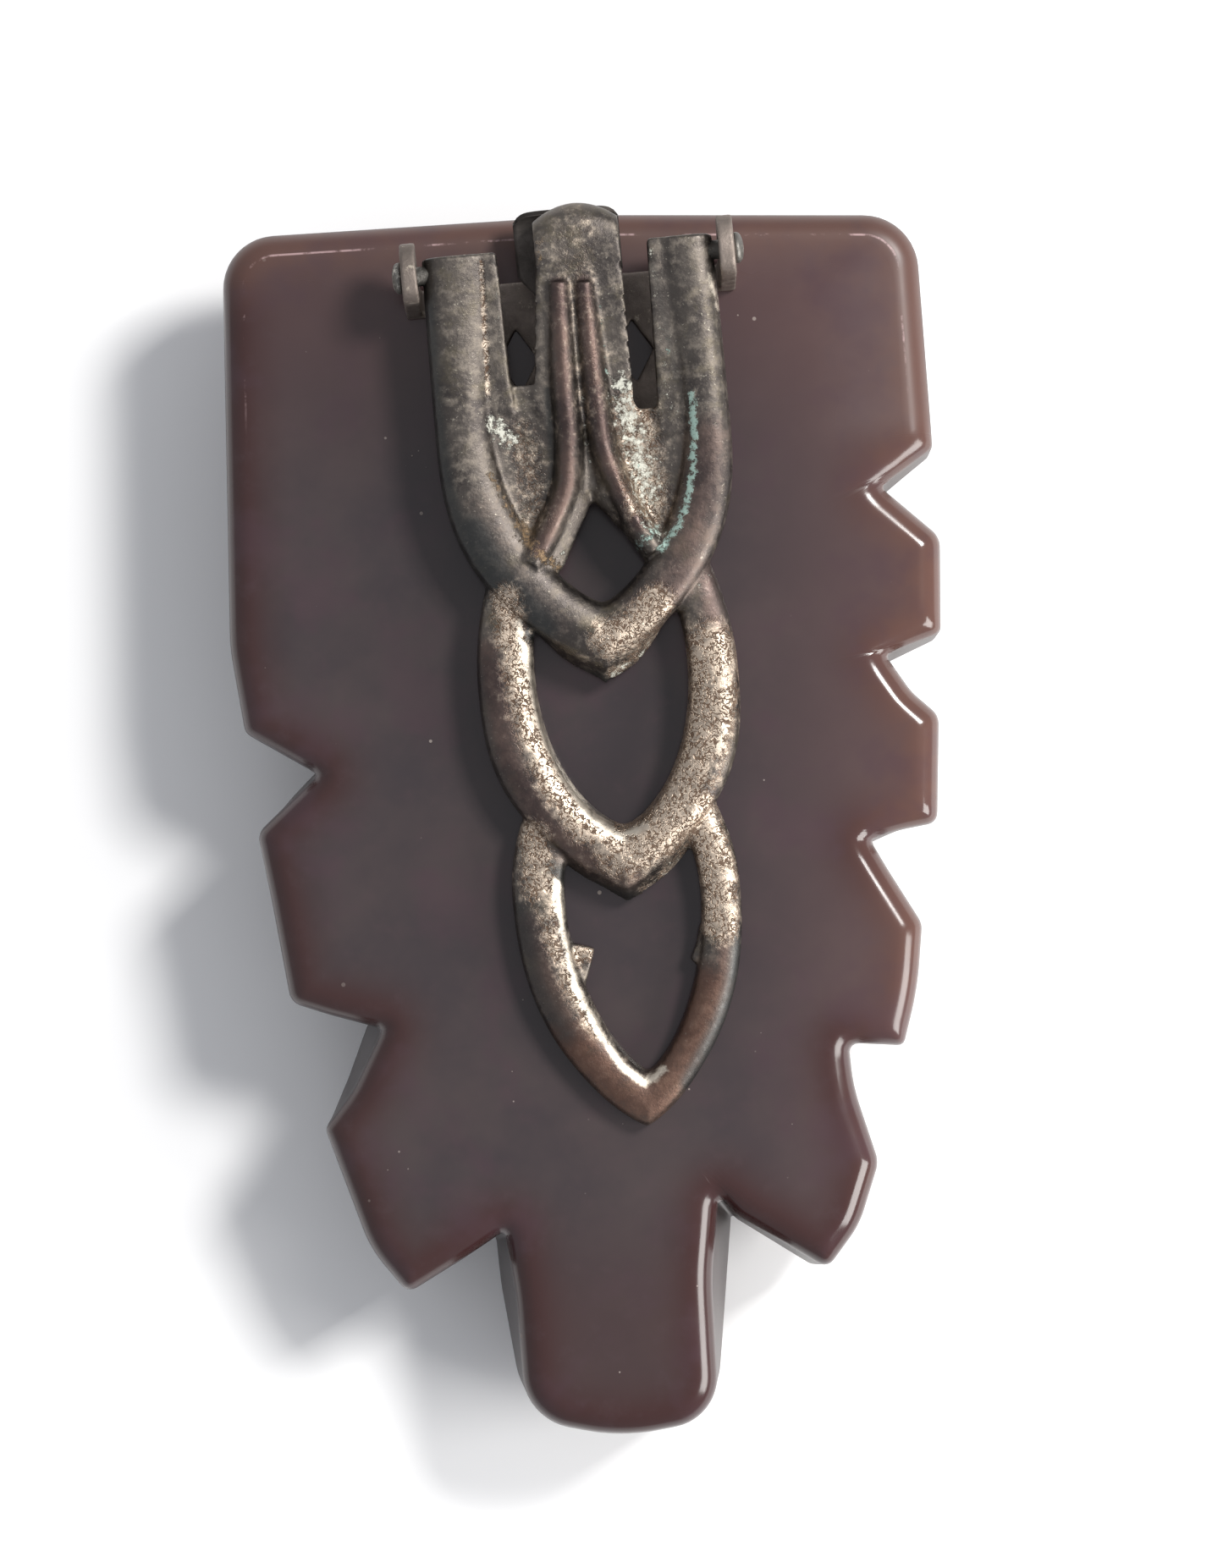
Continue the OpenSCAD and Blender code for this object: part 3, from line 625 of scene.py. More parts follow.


# where each finish, painted highlight and painted shade shows on the lever: radius, strength and the stroke's
# path
leverTones = {
    "copperTone": [
        (0.42, 1.0, [(-0.45, -0.9), (-0.62, -5.0), (-0.6, -7.0), (-0.85, -8.9), (-1.5, -10.3),
                     (-2.2, -11.5)]),
        (0.42, 1.0, [(0.57, -0.9), (0.66, -5.6), (0.8, -7.7), (1.3, -9.4), (1.9, -10.8)]),
        (1.1, 0.75, [(5.0, -7.5), (4.4, -10.5), (3.2, -13.2), (1.9, -14.3)]),
        (0.9, 0.4, [(-4.5, -9.5), (-3.2, -12.8), (-1.5, -14.6)]), (0.8, 0.8, [(4.6, -13.0), (4.7, -15.5)]),
        (0.85, 0.85, [(-4.7, -15.5), (-4.2, -20.0), (-3.0, -22.6), (-1.2, -24.2), (0.2, -24.9)]),
        (1.0, 1.0, [(-2.9, -31.2), (-0.8, -33.9), (0.3, -34.4), (1.6, -32.7), (3.1, -29.6)]),
        (0.7, 0.75, [(-4.1, -26.5), (-3.6, -29.0), (-2.6, -31.5)]),
        (0.5, 0.7, [(4.0, -27.5), (3.6, -29.5)])],
    # silver strokes: partly worn silver plate, partly painted highlight on edges and flanks that face the
    # lamps on the right
    "silverAndHighlightTone": [
        (0.8, 0.78, [(-3.8, -13.4), (-3.6, -15.5), (-3.3, -18.2), (-2.5, -21.0), (-1.4, -22.9),
                     (0.1, -23.8)]),
        (1.6, 0.28, [(0.4, 1.5), (0.3, -6.0)]), (1.0, 0.44, [(-2.5, -6.8), (-2.2, -10.0)]),
        (1.1, 0.7, [(2.1, -6.2), (2.3, -10.0)]), (0.3, 0.7, [(0.3, -16.65), (1.3, -16.05), (2.3, -15.2)]),
        (0.3, 0.6, [(0.8, -25.6), (1.8, -24.9), (2.7, -24.0)]),
        (1.3, 1.0, [(0.1, -23.8), (1.6, -23.2), (3.1, -20.6), (4.2, -18.0), (4.4, -16.2)]),
        (0.9, 0.9, [(0.3, -15.3), (1.3, -15.0), (2.3, -14.1)]), (0.5, 0.5, [(-0.3, -15.4), (0.3, -15.6)]),
        (0.8, 0.8, [(-3.5, -23.0), (-3.5, -25.2)]),
        (0.6, 0.55, [(-3.3, -25.2), (-3.1, -27.5), (-2.5, -29.4), (-1.7, -31.0)]),
        (0.9, 1.0, [(3.3, -22.6), (3.8, -25.0), (3.7, -27.2)]),
        (0.14, 0.6, [(-3.5, 0.3), (-3.6, -3.0), (-3.7, -5.0)]), (0.5, 0.7, [(-2.4, -28.2), (-1.8, -28.0)])],
    # polish strokes: partly worn bright metal, partly painted highlight along edges that face the lamps on
    # the right
    "polishAndHighlightTone": [
        (0.3, 0.8, [(-3.3, -14.4), (-3.05, -16.5), (-2.8, -18.5), (-2.05, -20.8), (-1.15, -22.4),
                    (0.1, -23.35), (1.1, -22.9)]),
        (0.28, 0.85, [(-2.75, -25.0), (-2.6, -27.3), (-2.3, -29.3), (-1.6, -31.1), (-0.8, -32.7),
                      (0.1, -33.45), (0.9, -33.0)]),
        (0.16, 0.8, [(5.7, -1.0), (5.95, -2.4)]), (0.3, 0.5, [(4.9, -17.5), (4.3, -20.2)]),
        (0.4, 0.45, [(0.9, -15.4), (2.0, -14.6)])],
    # dark strokes: partly dark tarnish, partly painted shade on the left outer flanks and under the points
    # where one band tucks under the next
    "darkTarnishAndShadeTone": [
        (0.55, 0.85, [(-5.8, 0.5), (-5.95, -5.0), (-5.8, -8.5), (-5.2, -11.0)]),
        (0.5, 0.6, [(-5.1, -13.2), (-5.25, -16.8), (-5.0, -19.8), (-4.3, -21.8)]),
        (0.6, 1.0, [(4.7, -26.8), (4.35, -29.3), (3.5, -31.4), (2.0, -33.6)]),
        (0.9, 0.5, [(5.1, -13.6), (4.9, -15.2)]), (0.25, 0.7, [(-1.3, -5.0), (-1.35, -8.2), (-1.8, -9.6)]),
        (0.3, 0.5, [(3.4, -0.5), (3.75, -3.0), (3.95, -5.2)]),
        (1.1, 1.0, [(-5.0, -10.6), (-4.1, -12.6), (-2.6, -14.6)]),
        (0.8, 0.7, [(-4.4, -26.0), (-3.9, -29.0), (-2.9, -31.2)]),
        (0.4, 0.9, [(-3.0, -15.7), (-1.5, -16.4), (0.1, -17.0)]),
        (0.5, 0.9, [(-3.2, -24.3), (-1.6, -25.3), (0.2, -26.0)])],
    "verdigrisTone": [
        (0.26, 1.0, [(4.5, -5.8), (4.5, -7.2), (4.3, -8.8), (3.95, -10.0), (3.5, -11.0), (2.7, -11.9)]),
        (0.45, 0.8, [(1.9, -11.6), (2.5, -11.1)]), (0.22, 0.6, [(3.6, -3.0), (3.7, -4.0)]),
        (0.13, 0.6, [(1.13, -1.8), (1.15, -4.6)]), (0.5, 0.45, [(2.0, -7.5), (2.2, -9.8)])],
    "creamTone": [
        (0.6, 1.0, [(-3.6, -6.2), (-3.0, -6.9)]), (0.8, 0.55, [(-3.2, -7.2), (-2.6, -6.4)]),
        (0.95, 0.95, [(1.7, -5.2), (2.1, -7.5), (2.4, -9.6)]), (0.5, 0.8, [(2.2, -10.6), (2.7, -11.3)]),
        (0.4, 0.7, [(-1.3, -11.7), (-0.9, -12.3)]), (0.3, 0.6, [(0.0, -12.7), (-0.6, -11.2)]),
        (0.2, 0.62, [(3.4, 0.4), (3.45, -3.0), (3.5, -5.8), (4.0, -6.7)]),
        (0.35, 0.6, [(4.1, -13.4), (5.0, -12.7)]), (0.14, 0.55, [(-2.95, 0.3), (-3.05, -4.8)]),
        (0.25, 0.6, [(-5.2, -12.3), (-5.3, -12.7)]), (0.2, 0.6, [(0.05, -5.5), (0.1, -8.2)]),
        (0.32, 0.7, [(0.35, -16.75), (1.4, -16.15), (2.4, -15.35)]),
        (0.35, 0.55, [(0.8, -25.75), (1.9, -25.0), (2.8, -24.0)])],
    "ochreTone": [
        (0.5, 0.9, [(-2.9, -10.3), (-2.4, -11.5), (-1.7, -12.1)]), (0.45, 0.6, [(-1.0, 1.0), (-1.2, 0.2)]),
        (0.3, 0.5, [(-1.3, -8.4), (-1.9, -10.0)]),
        (0.35, 0.75, [(-3.9, -8.2), (-3.3, -9.6), (-2.9, -10.3)])],
}

leverPoints, leverFaces = buildLever()
lever = makeMesh("openworkLever", toFrame(leverPoints), leverFaces)
for tone, strokes in leverTones.items():
    paintPoints(lever, tone, strokeMask(leverPoints, strokes))
print("lever", len(lever.data.polygons) * 2, "triangles", leverPoints.min(axis=0), leverPoints.max(axis=0))
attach(lever, "lever")
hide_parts("clip_lever")


# earLift is how far the ears' round tops reach up past the CAD ones, towards the top edge
plateShape = {"voxel": 0.07, "relax": 4, "dent": 0.03, "earLift": 0.28}


def nodeSolid(name):
    # a CAD node's own shape, as finding points in mm
    mesh = frame["nodes"][name].data
    points = np.empty(len(mesh.vertices) * 3, dtype=np.float32)
    mesh.vertices.foreach_get("co", points)
    offset = points.reshape(-1, 3).astype(float) - (hingeSpot[0], hingeSpot[1], backZ)
    local = np.column_stack([offset @ acrossWay, offset @ alongWay, offset[:, 2]]) / mm
    corners = np.empty(len(mesh.loops), dtype=np.int32)
    mesh.loops.foreach_get("vertex_index", corners)
    return local, [corners.reshape(-1, 3)]


def waves(points, size, seed):
    # a smooth bumpy field from -1 to 1: the mean of six plane waves in random directions
    rng = np.random.default_rng(seed)
    total = np.zeros(len(points))
    for step in range(6):
        way = rng.normal(size=3)
        way /= np.linalg.norm(way)
        total += np.sin(points @ way * (2 * np.pi / size) * (0.7 + 0.12 * step) + rng.uniform(0, 6.28))
    return total / 6


def latheSolid(profile, place, axis, dents, seed, turns=40):
    # a profile of (radius, distance) turned round an axis, its rim pushed in and out by a few slow waves
    axis = np.array(axis, dtype=float)
    side = np.cross(axis, (0.0, 1.0, 0.0) if abs(axis[1]) < 0.9 else (1.0, 0.0, 0.0))
    side /= np.linalg.norm(side)
    other = np.cross(axis, side)
    angle = np.linspace(0, 2 * np.pi, turns, endpoint=False)
    rng = np.random.default_rng(seed)
    phase = rng.uniform(0, 6.28, 3)
    wobble = np.zeros(turns)
    for share, beats, start in zip((1, 0.6, 0.4), (2, 3, 5), phase):
        wobble += share * np.sin(beats * angle + start)
    wobble = 1 + dents * wobble
    profile = np.array(profile)
    radius = profile[:, 0, None] * wobble
    sections = (np.array(place) + profile[:, 1, None, None] * axis
                + (radius * np.cos(angle))[..., None] * side + (radius * np.sin(angle))[..., None] * other)
    return tubeSolid(sections)


def domedHead(shank, head, high, deep):
    # a profile: shank up to the seat, a small undercut edge, and a dome that is nearly a quarter ellipse
    t = np.linspace(0, 0.5 * np.pi, 9)
    dome = np.column_stack([head * np.cos(t) ** 0.8, 0.3 * high + 0.7 * high * np.sin(t)])[:-1]
    shaft = [(0.4 * shank, -deep), (shank, 0.25 * shank - deep), (shank, 0.0)]
    rim = [(0.95 * head, 0.0), (head, 0.12 * high)]
    return np.vstack([shaft, rim, dome, [(0.06 * head, high)]])


def plateBlank():
    # the CAD plate melted onto a fine grid, so that its edges are soft, then dented a little
    points, faces = fuseSolids("plate", [nodeSolid("base_plate")], plateShape["voxel"], plateShape["relax"])
    points[:, 2] += plateShape["dent"] * waves(points, 2.6, 3) * glide(points[:, 2], 0.3, 1.5)
    points[:, 0] += plateShape["dent"] * waves(points, 1.9, 4) * glide(points[:, 2], 0.6, 1.5)
    points[:, 1] += plateShape["earLift"] * glide(points[:, 2], 1.6, 3.2) * glide(points[:, 1], 0.1, 1.0)
    return points, faces


platePoints, plateFaces = plateBlank()
plate = makeMesh("hingePlate", toFrame(platePoints), plateFaces)
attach(plate, "ornament")
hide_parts("base_plate")

# heights are over the resin's back, and places along are from the hinge axis, in mm
springShape = {
    "thick": 0.26, "seat": 0.4,        # its root lies on the plate, at this height
    "root": -8.75, "bend": -3.0,       # where the strip starts, and where it leaves the plate
    "stem": 1.4, "head": 2.16, "headMiddle": 0.06,     # half widths, and the middle of the head
    "curlCentre": (1.45, 2.55), "curlRadius": 1.04, "curlTurn": (-97, -45),
    "squashHeight": 0.54, "squashKeep": 0.05,          # it flattens to this share over this height
}


def bentSpring():
    # a strip that lies on the plate, rises and curls round the roll; its head is wider and has arched corners
    shape = springShape
    thick, seat = shape["thick"], shape["seat"]
    centre, radius = shape["curlCentre"], shape["curlRadius"] + thick
    n = np.linspace(-1, 1, 25)
    rise = curveThrough([(shape["root"], seat), (-5.5, seat), (shape["bend"] - 0.5, seat),
                         (shape["bend"] + 0.6, seat + 0.05), (-1.2, 0.68), (0.2, 0.98)], 40)
    angle = np.radians(np.linspace(*shape["curlTurn"], 22))
    curl = np.column_stack([centre[0] + radius * np.cos(angle), centre[1] + radius * np.sin(angle)])
    path = np.concatenate([rise, curl])
    way = np.gradient(path, axis=0)
    way /= np.linalg.norm(way, axis=1)[:, None]
    upward = np.column_stack([-way[:, 1], way[:, 0]])
    half = np.interp(path[:, 0], [-1.0, -0.2], [shape["stem"], shape["head"]])
    middle = np.interp(path[:, 0], [-1.0, -0.2], [0.0, shape["headMiddle"]])
    x = middle[:, None] + half[:, None] * n
    step = np.arange(len(path))
    last = len(path) - 1
    pull = 9.0 * np.abs(n) ** 8                      # the end's corners stop short of its middle
    index = np.clip(step[:, None] - pull[None] * glide(step, last - 11, last)[:, None], 0, last)
    low = np.dstack([x] + [np.interp(index, step, path[:, k]) for k in (0, 1)])
    shift = np.stack([np.interp(index, step, upward[:, k]) for k in (0, 1)], axis=-1)
    high = low.copy()
    high[..., 1:] += thick * shift
    return slabSolid(high, low)


springPoints, springFaces = bentSpring()
spring = makeMesh("bentLeafSpring", toFrame(springPoints), springFaces)
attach(spring, "ornament")
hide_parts("leaf_spring")
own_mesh(spring)

# earFace is the outer face of an ear, and deep is how far a stub reaches in from it
rivetShape = {"radius": 0.4, "head": 0.65, "high": 0.38, "deep": 3.0, "earFace": 6.77, "axisHeight": 3.0}
rivetSolids = []
for side, seed in ((-1, 11), (1, 12)):
    profile = domedHead(rivetShape["radius"], rivetShape["head"], rivetShape["high"], rivetShape["deep"])
    seat = (side * rivetShape["earFace"], 0, rivetShape["axisHeight"])
    rivetSolids.append(latheSolid(profile, seat, (side, 0, 0), 0.03, seed))
rivetPoints, rivetFaces = joinSolids(rivetSolids)
rivets = makeMesh("peenedRivets", toFrame(rivetPoints), rivetFaces)
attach(rivets, "ornament")
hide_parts("pivot_rivets")

pinShape = {
    "radius": 0.45, "head": 0.85, "high": 0.38, "deep": 3.4,       # deep is how far it goes into the resin
    "places": ((-4.6, -3.55, 0.4), (4.6, -3.55, 0.4), (0.0, -7.65, 0.68)),
}
pinSolids = []
for number, place in enumerate(pinShape["places"]):
    profile = domedHead(pinShape["radius"], pinShape["head"], pinShape["high"], pinShape["deep"] + place[2])
    pinSolids.append(latheSolid(profile, place, (0, 0, 1), 0.02, 20 + number))
pinPoints, pinFaces = joinSolids(pinSolids)
pins = makeMesh("escutcheonPins", toFrame(pinPoints), pinFaces)
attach(pins, "ornament")
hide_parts("plate_pins")
print("plate", len(plate.data.polygons) * 2, "spring", len(spring.data.polygons) * 2, "triangles")


class NodeBench:
    # a node tree with a short way to place each kind of node that these finishes use

    def __init__(self, tree):
        self.nodes = tree.nodes
        self.link = tree.links.new

    def add(self, kind, **settings):
        node = self.nodes.new(kind)
        for key, value in settings.items():
            setattr(node, key, value)
        return node

    def maths(self, operation, first, second, clamp=False):
        # one sum; each side is a number or another node's output
        node = self.add("ShaderNodeMath", operation=operation, use_clamp=clamp)
        for socket, value in zip(node.inputs, (first, second)):
            if isinstance(value, (int, float)):
                socket.default_value = value
            else:
                self.link(value, socket)
        return node.outputs[0]

    def times(self, first, second):
        return self.maths("MULTIPLY", first, second)

    def larger(self, first, second):
        return self.maths("MAXIMUM", first, second)

    def step(self, value, low, high, toLow=0.0, toHigh=1.0):
        # an even S curve from one value to another
        node = self.add("ShaderNodeMapRange", interpolation_type="SMOOTHSTEP")
        for name, number in (("From Min", low), ("From Max", high), ("To Min", toLow), ("To Max", toHigh)):
            node.inputs[name].default_value = number
        self.link(value, node.inputs["Value"])
        return node.outputs["Result"]

    def mix(self, mask, under, over):
        # the colour over shows where the mask is 1; each colour is a tuple or another node's output
        node = self.add("ShaderNodeMix", data_type="RGBA")
        self.link(mask, node.inputs["Factor"])
        for socket, value in ((node.inputs[6], under), (node.inputs[7], over)):
            if isinstance(value, tuple):
                socket.default_value = (*value, 1)
            else:
                self.link(value, socket)
        return node.outputs[2]

    def noise(self, vector, scale, detail=4.0, roughness=0.55, distortion=0.0):
        node = self.add("ShaderNodeTexNoise")
        settings = {"Scale": scale, "Detail": detail, "Roughness": roughness, "Distortion": distortion}
        for name, number in settings.items():
            node.inputs[name].default_value = number
        self.link(vector, node.inputs["Vector"])
        return node.outputs["Fac"]

    def painted(self, name):
        # one of the piece's own painted masks
        return self.add("ShaderNodeAttribute", attribute_name=name).outputs["Fac"]

    def group(self, name, vector, **values):
        node = self.add("ShaderNodeGroup", node_tree=groups[name])
        self.link(vector, node.inputs["Vector"])
        for key, value in values.items():
            node.inputs[key].default_value = value
        return node

    def bump(self, height, strength, distance, shader):
        # a relief under the shader's own surface
        node = self.add("ShaderNodeBump")
        node.inputs["Strength"].default_value = strength
        node.inputs["Distance"].default_value = distance
        self.link(height, node.inputs["Height"])
        self.link(node.outputs["Normal"], shader.inputs["Normal"])


def startMaterial(name):
    # a new material, its bench, its shader and the places on the piece
    material = bpy.data.materials.new(name)
    material.use_nodes = True
    bench = NodeBench(material.node_tree)
    place = bench.add("ShaderNodeTexCoord").outputs["Object"]
    return material, bench, bench.nodes["Principled BSDF"], place


def startGroup(name, numbers, outputs):
    # a group fed by a vector and a few numbers, with plain values as its outputs
    group = bpy.data.node_groups.new(name, "ShaderNodeTree")
    group.interface.new_socket("Vector", in_out="INPUT", socket_type="NodeSocketVector")
    for label, value in numbers.items():
        socket = group.interface.new_socket(label, in_out="INPUT", socket_type="NodeSocketFloat")
        socket.default_value = value
    for label in outputs:
        group.interface.new_socket(label, in_out="OUTPUT", socket_type="NodeSocketFloat")
    bench = NodeBench(group)
    start = bench.add("NodeGroupInput").outputs
    end = bench.add("NodeGroupOutput").inputs
    return group, bench, start, end


def patinaGroup():
    # slow and fine blotches of tarnish, from two sizes of noise, and a fine grain
    group, bench, start, end = startGroup("patina", {}, ("Slow", "Fine", "Grain"))
    vector = start["Vector"]
    bench.link(bench.step(bench.noise(vector, 330, 5, 0.6), 0.35, 0.65), end["Slow"])
    bench.link(bench.noise(vector, 1900, 6, 0.7), end["Fine"])
    bench.link(bench.noise(vector, 7500, 3, 0.6), end["Grain"])
    return group


def wormGroup():
    # short wandering pits: the thin band where a twisted noise passes its middle value, in patches
    numbers = {"Scale": 4000.0, "Width": 0.05, "Patch": 0.4}
    group, bench, start, end = startGroup("wormPits", numbers, ("Pits",))
    grow = bench.add("ShaderNodeVectorMath", operation="SCALE")
    bench.link(start["Vector"], grow.inputs[0])
    bench.link(start["Scale"], grow.inputs["Scale"])
    vector = grow.outputs["Vector"]
    field = bench.noise(vector, 1.0, 1.5, 0.5, 0.7)
    away = bench.maths("ABSOLUTE", bench.maths("SUBTRACT", field, 0.5), 0)
    line = bench.maths("SUBTRACT", 1.0, bench.maths("DIVIDE", away, start["Width"], True), True)
    patches = bench.maths("SUBTRACT", bench.noise(vector, 0.23, 2), start["Patch"])
    patches = bench.step(patches, -0.06, 0.06)
    bench.link(bench.times(bench.step(line, 0.1, 0.7), patches), end["Pits"])
    return group


def specksGroup():
    # sparse round dust specks: the cores of a few of the cells of a Voronoi pattern
    group, bench, start, end = startGroup("dustSpecks", {"Scale": 600.0, "Share": 0.06}, ("Specks",))
    cells = bench.add("ShaderNodeTexVoronoi")
    bench.link(start["Vector"], cells.inputs["Vector"])
    bench.link(start["Scale"], cells.inputs["Scale"])
    split = bench.add("ShaderNodeSeparateColor")
    bench.link(cells.outputs["Color"], split.inputs["Color"])
    chosen = bench.maths("LESS_THAN", split.outputs["Red"], start["Share"])
    size = bench.step(split.outputs["Green"], 0.0, 1.0, 0.04, 0.13)
    core = bench.maths("LESS_THAN", cells.outputs["Distance"], size)
    bench.link(bench.times(core, chosen), end["Specks"])
    return group


groups = {"patina": patinaGroup(), "worm": wormGroup(), "specks": specksGroup()}


def resinMaterial():
    # dark polished phenolic: brown grey in the middle; painted light makes the right side and the top lighter
    # and redder, and the edge band carries painted shade low on the left and painted light on the right and
    # along the top
    material, bench, shader, place = startMaterial("polishedResin")
    glow = bench.painted("edgeGlow")
    cloud = bench.noise(place, 160, 4, 0.62)
    mottle = bench.noise(place, 900, 4, 0.6)
    split = bench.add("ShaderNodeSeparateXYZ")
    bench.link(place, split.inputs["Vector"])
    # painted light: the right side and the top are painted lighter and redder, as if lit more
    litFromRight = bench.step(split.outputs["X"], 0.003, 0.016)
    top = bench.step(split.outputs["Y"], 0.012, 0.025)
    body = bench.mix(bench.step(cloud, 0.3, 0.7), (0.034, 0.026, 0.029), (0.048, 0.035, 0.0355))
    body = bench.mix(bench.times(litFromRight, 0.85), body, (0.085, 0.047, 0.045))
    body = bench.mix(bench.times(top, 0.6), body, (0.085, 0.042, 0.04))
    low = bench.step(split.outputs["Y"], -0.021, -0.014, 0.6, 0.0)
    body = bench.mix(low, body, (0.045, 0.023, 0.022))
    # painted shade and light on the edge band: dark red painted shade low on the left, light brown painted
    # light on the right and along the top
    lit = bench.step(split.outputs["X"], 0.009, 0.0135)
    high = bench.step(split.outputs["Y"], 0.021, 0.0245)
    lit = bench.larger(lit, high)
    nearBack = bench.step(split.outputs["Z"], 0.0058, 0.0082)
    lit = bench.times(lit, nearBack)
    edgeShadeAndLight = bench.mix(lit, (0.036, 0.012, 0.011), (0.095, 0.045, 0.034))
    # the band along the edge where this painted shade and light show
    edge = bench.times(bench.step(glow, 0.12, 0.62), 0.88)
    body = bench.mix(edge, body, edgeShadeAndLight)
    body = bench.mix(bench.times(bench.step(mottle, 0.5, 0.8), 0.3), body, (0.058, 0.036, 0.04))
    violet = bench.step(bench.noise(place, 300, 3, 0.6), 0.48, 0.7, 0.0, 0.4)
    body = bench.mix(violet, body, (0.052, 0.027, 0.036))
    # the walls are painted darker than the faces, as painted shade where the skin turns away from level, and
    # they are less polished
    walls = bench.painted("wallTurn")
    walls = bench.step(walls, 0.55, 0.92)
    body = bench.mix(bench.times(walls, 0.8), body, (0.017, 0.007, 0.006))
    # dust, thicker round the metal, and a broken painted highlight just inside the round of the top edge
    dust = bench.group("specks", place, Scale=1500.0, Share=0.04).outputs["Specks"]
    metalNear = bench.step(bench.maths("ABSOLUTE", split.outputs["X"], 0), 0.006, 0.011, 1.0, 0.25)
    fineDust = bench.group("specks", place, Scale=3600.0, Share=0.045).outputs["Specks"]
    patchy = bench.step(bench.noise(place, 260, 3), 0.5, 0.6)
    fineDust = bench.times(fineDust, patchy)
    dust = bench.larger(dust, fineDust)
    litter = bench.times(bench.times(dust, metalNear), nearBack)
    body = bench.mix(bench.times(litter, 0.45), body, (0.42, 0.36, 0.32))
    # painted highlight: a thin broken light line along the crease inside the top edge's round
    crease = bench.maths("ABSOLUTE", bench.maths("SUBTRACT", glow, 0.57), 0)
    crease = bench.step(crease, 0.006, 0.022, 1.0, 0.0)
    broken = bench.step(bench.noise(place, 420, 5, 0.75), 0.47, 0.6)
    upper = bench.step(split.outputs["Y"], 0.016, 0.022)
    creaseHighlight = bench.times(bench.times(crease, broken), upper)
    body = bench.mix(bench.times(creaseHighlight, 0.7), body, (0.5, 0.34, 0.34))
    bench.link(body, shader.inputs["Base Color"])
    smear = bench.noise(place, 160, 4, 0.6)
    rough = bench.step(smear, 0.3, 0.75, 0.13, 0.24)
    dullSide = bench.times(bench.step(split.outputs["Y"], 0.0148, 0.0165), lit)
    rough = bench.maths("ADD", rough, bench.times(dullSide, 0.24))
    rough = bench.larger(rough, bench.times(walls, 0.4))
    bench.link(bench.larger(rough, bench.times(dust, 0.7)), shader.inputs["Roughness"])
    shader.inputs["IOR"].default_value = 1.5
    # long faint polishing marks
    stretch = bench.add("ShaderNodeMapping")
    stretch.inputs["Scale"].default_value = (9000, 260, 260)
    stretch.inputs["Rotation"].default_value = (0, 0, 0.6)
    bench.link(place, stretch.inputs["Vector"])
    marks = bench.noise(stretch.outputs["Vector"], 1.0, 2, 0.5)
    sway = bench.noise(place, 240, 2, 0.4)
    height = bench.maths("ADD", bench.times(marks, 0.02), sway)
    bench.bump(height, 0.25, 0.00006, shader)
    return material


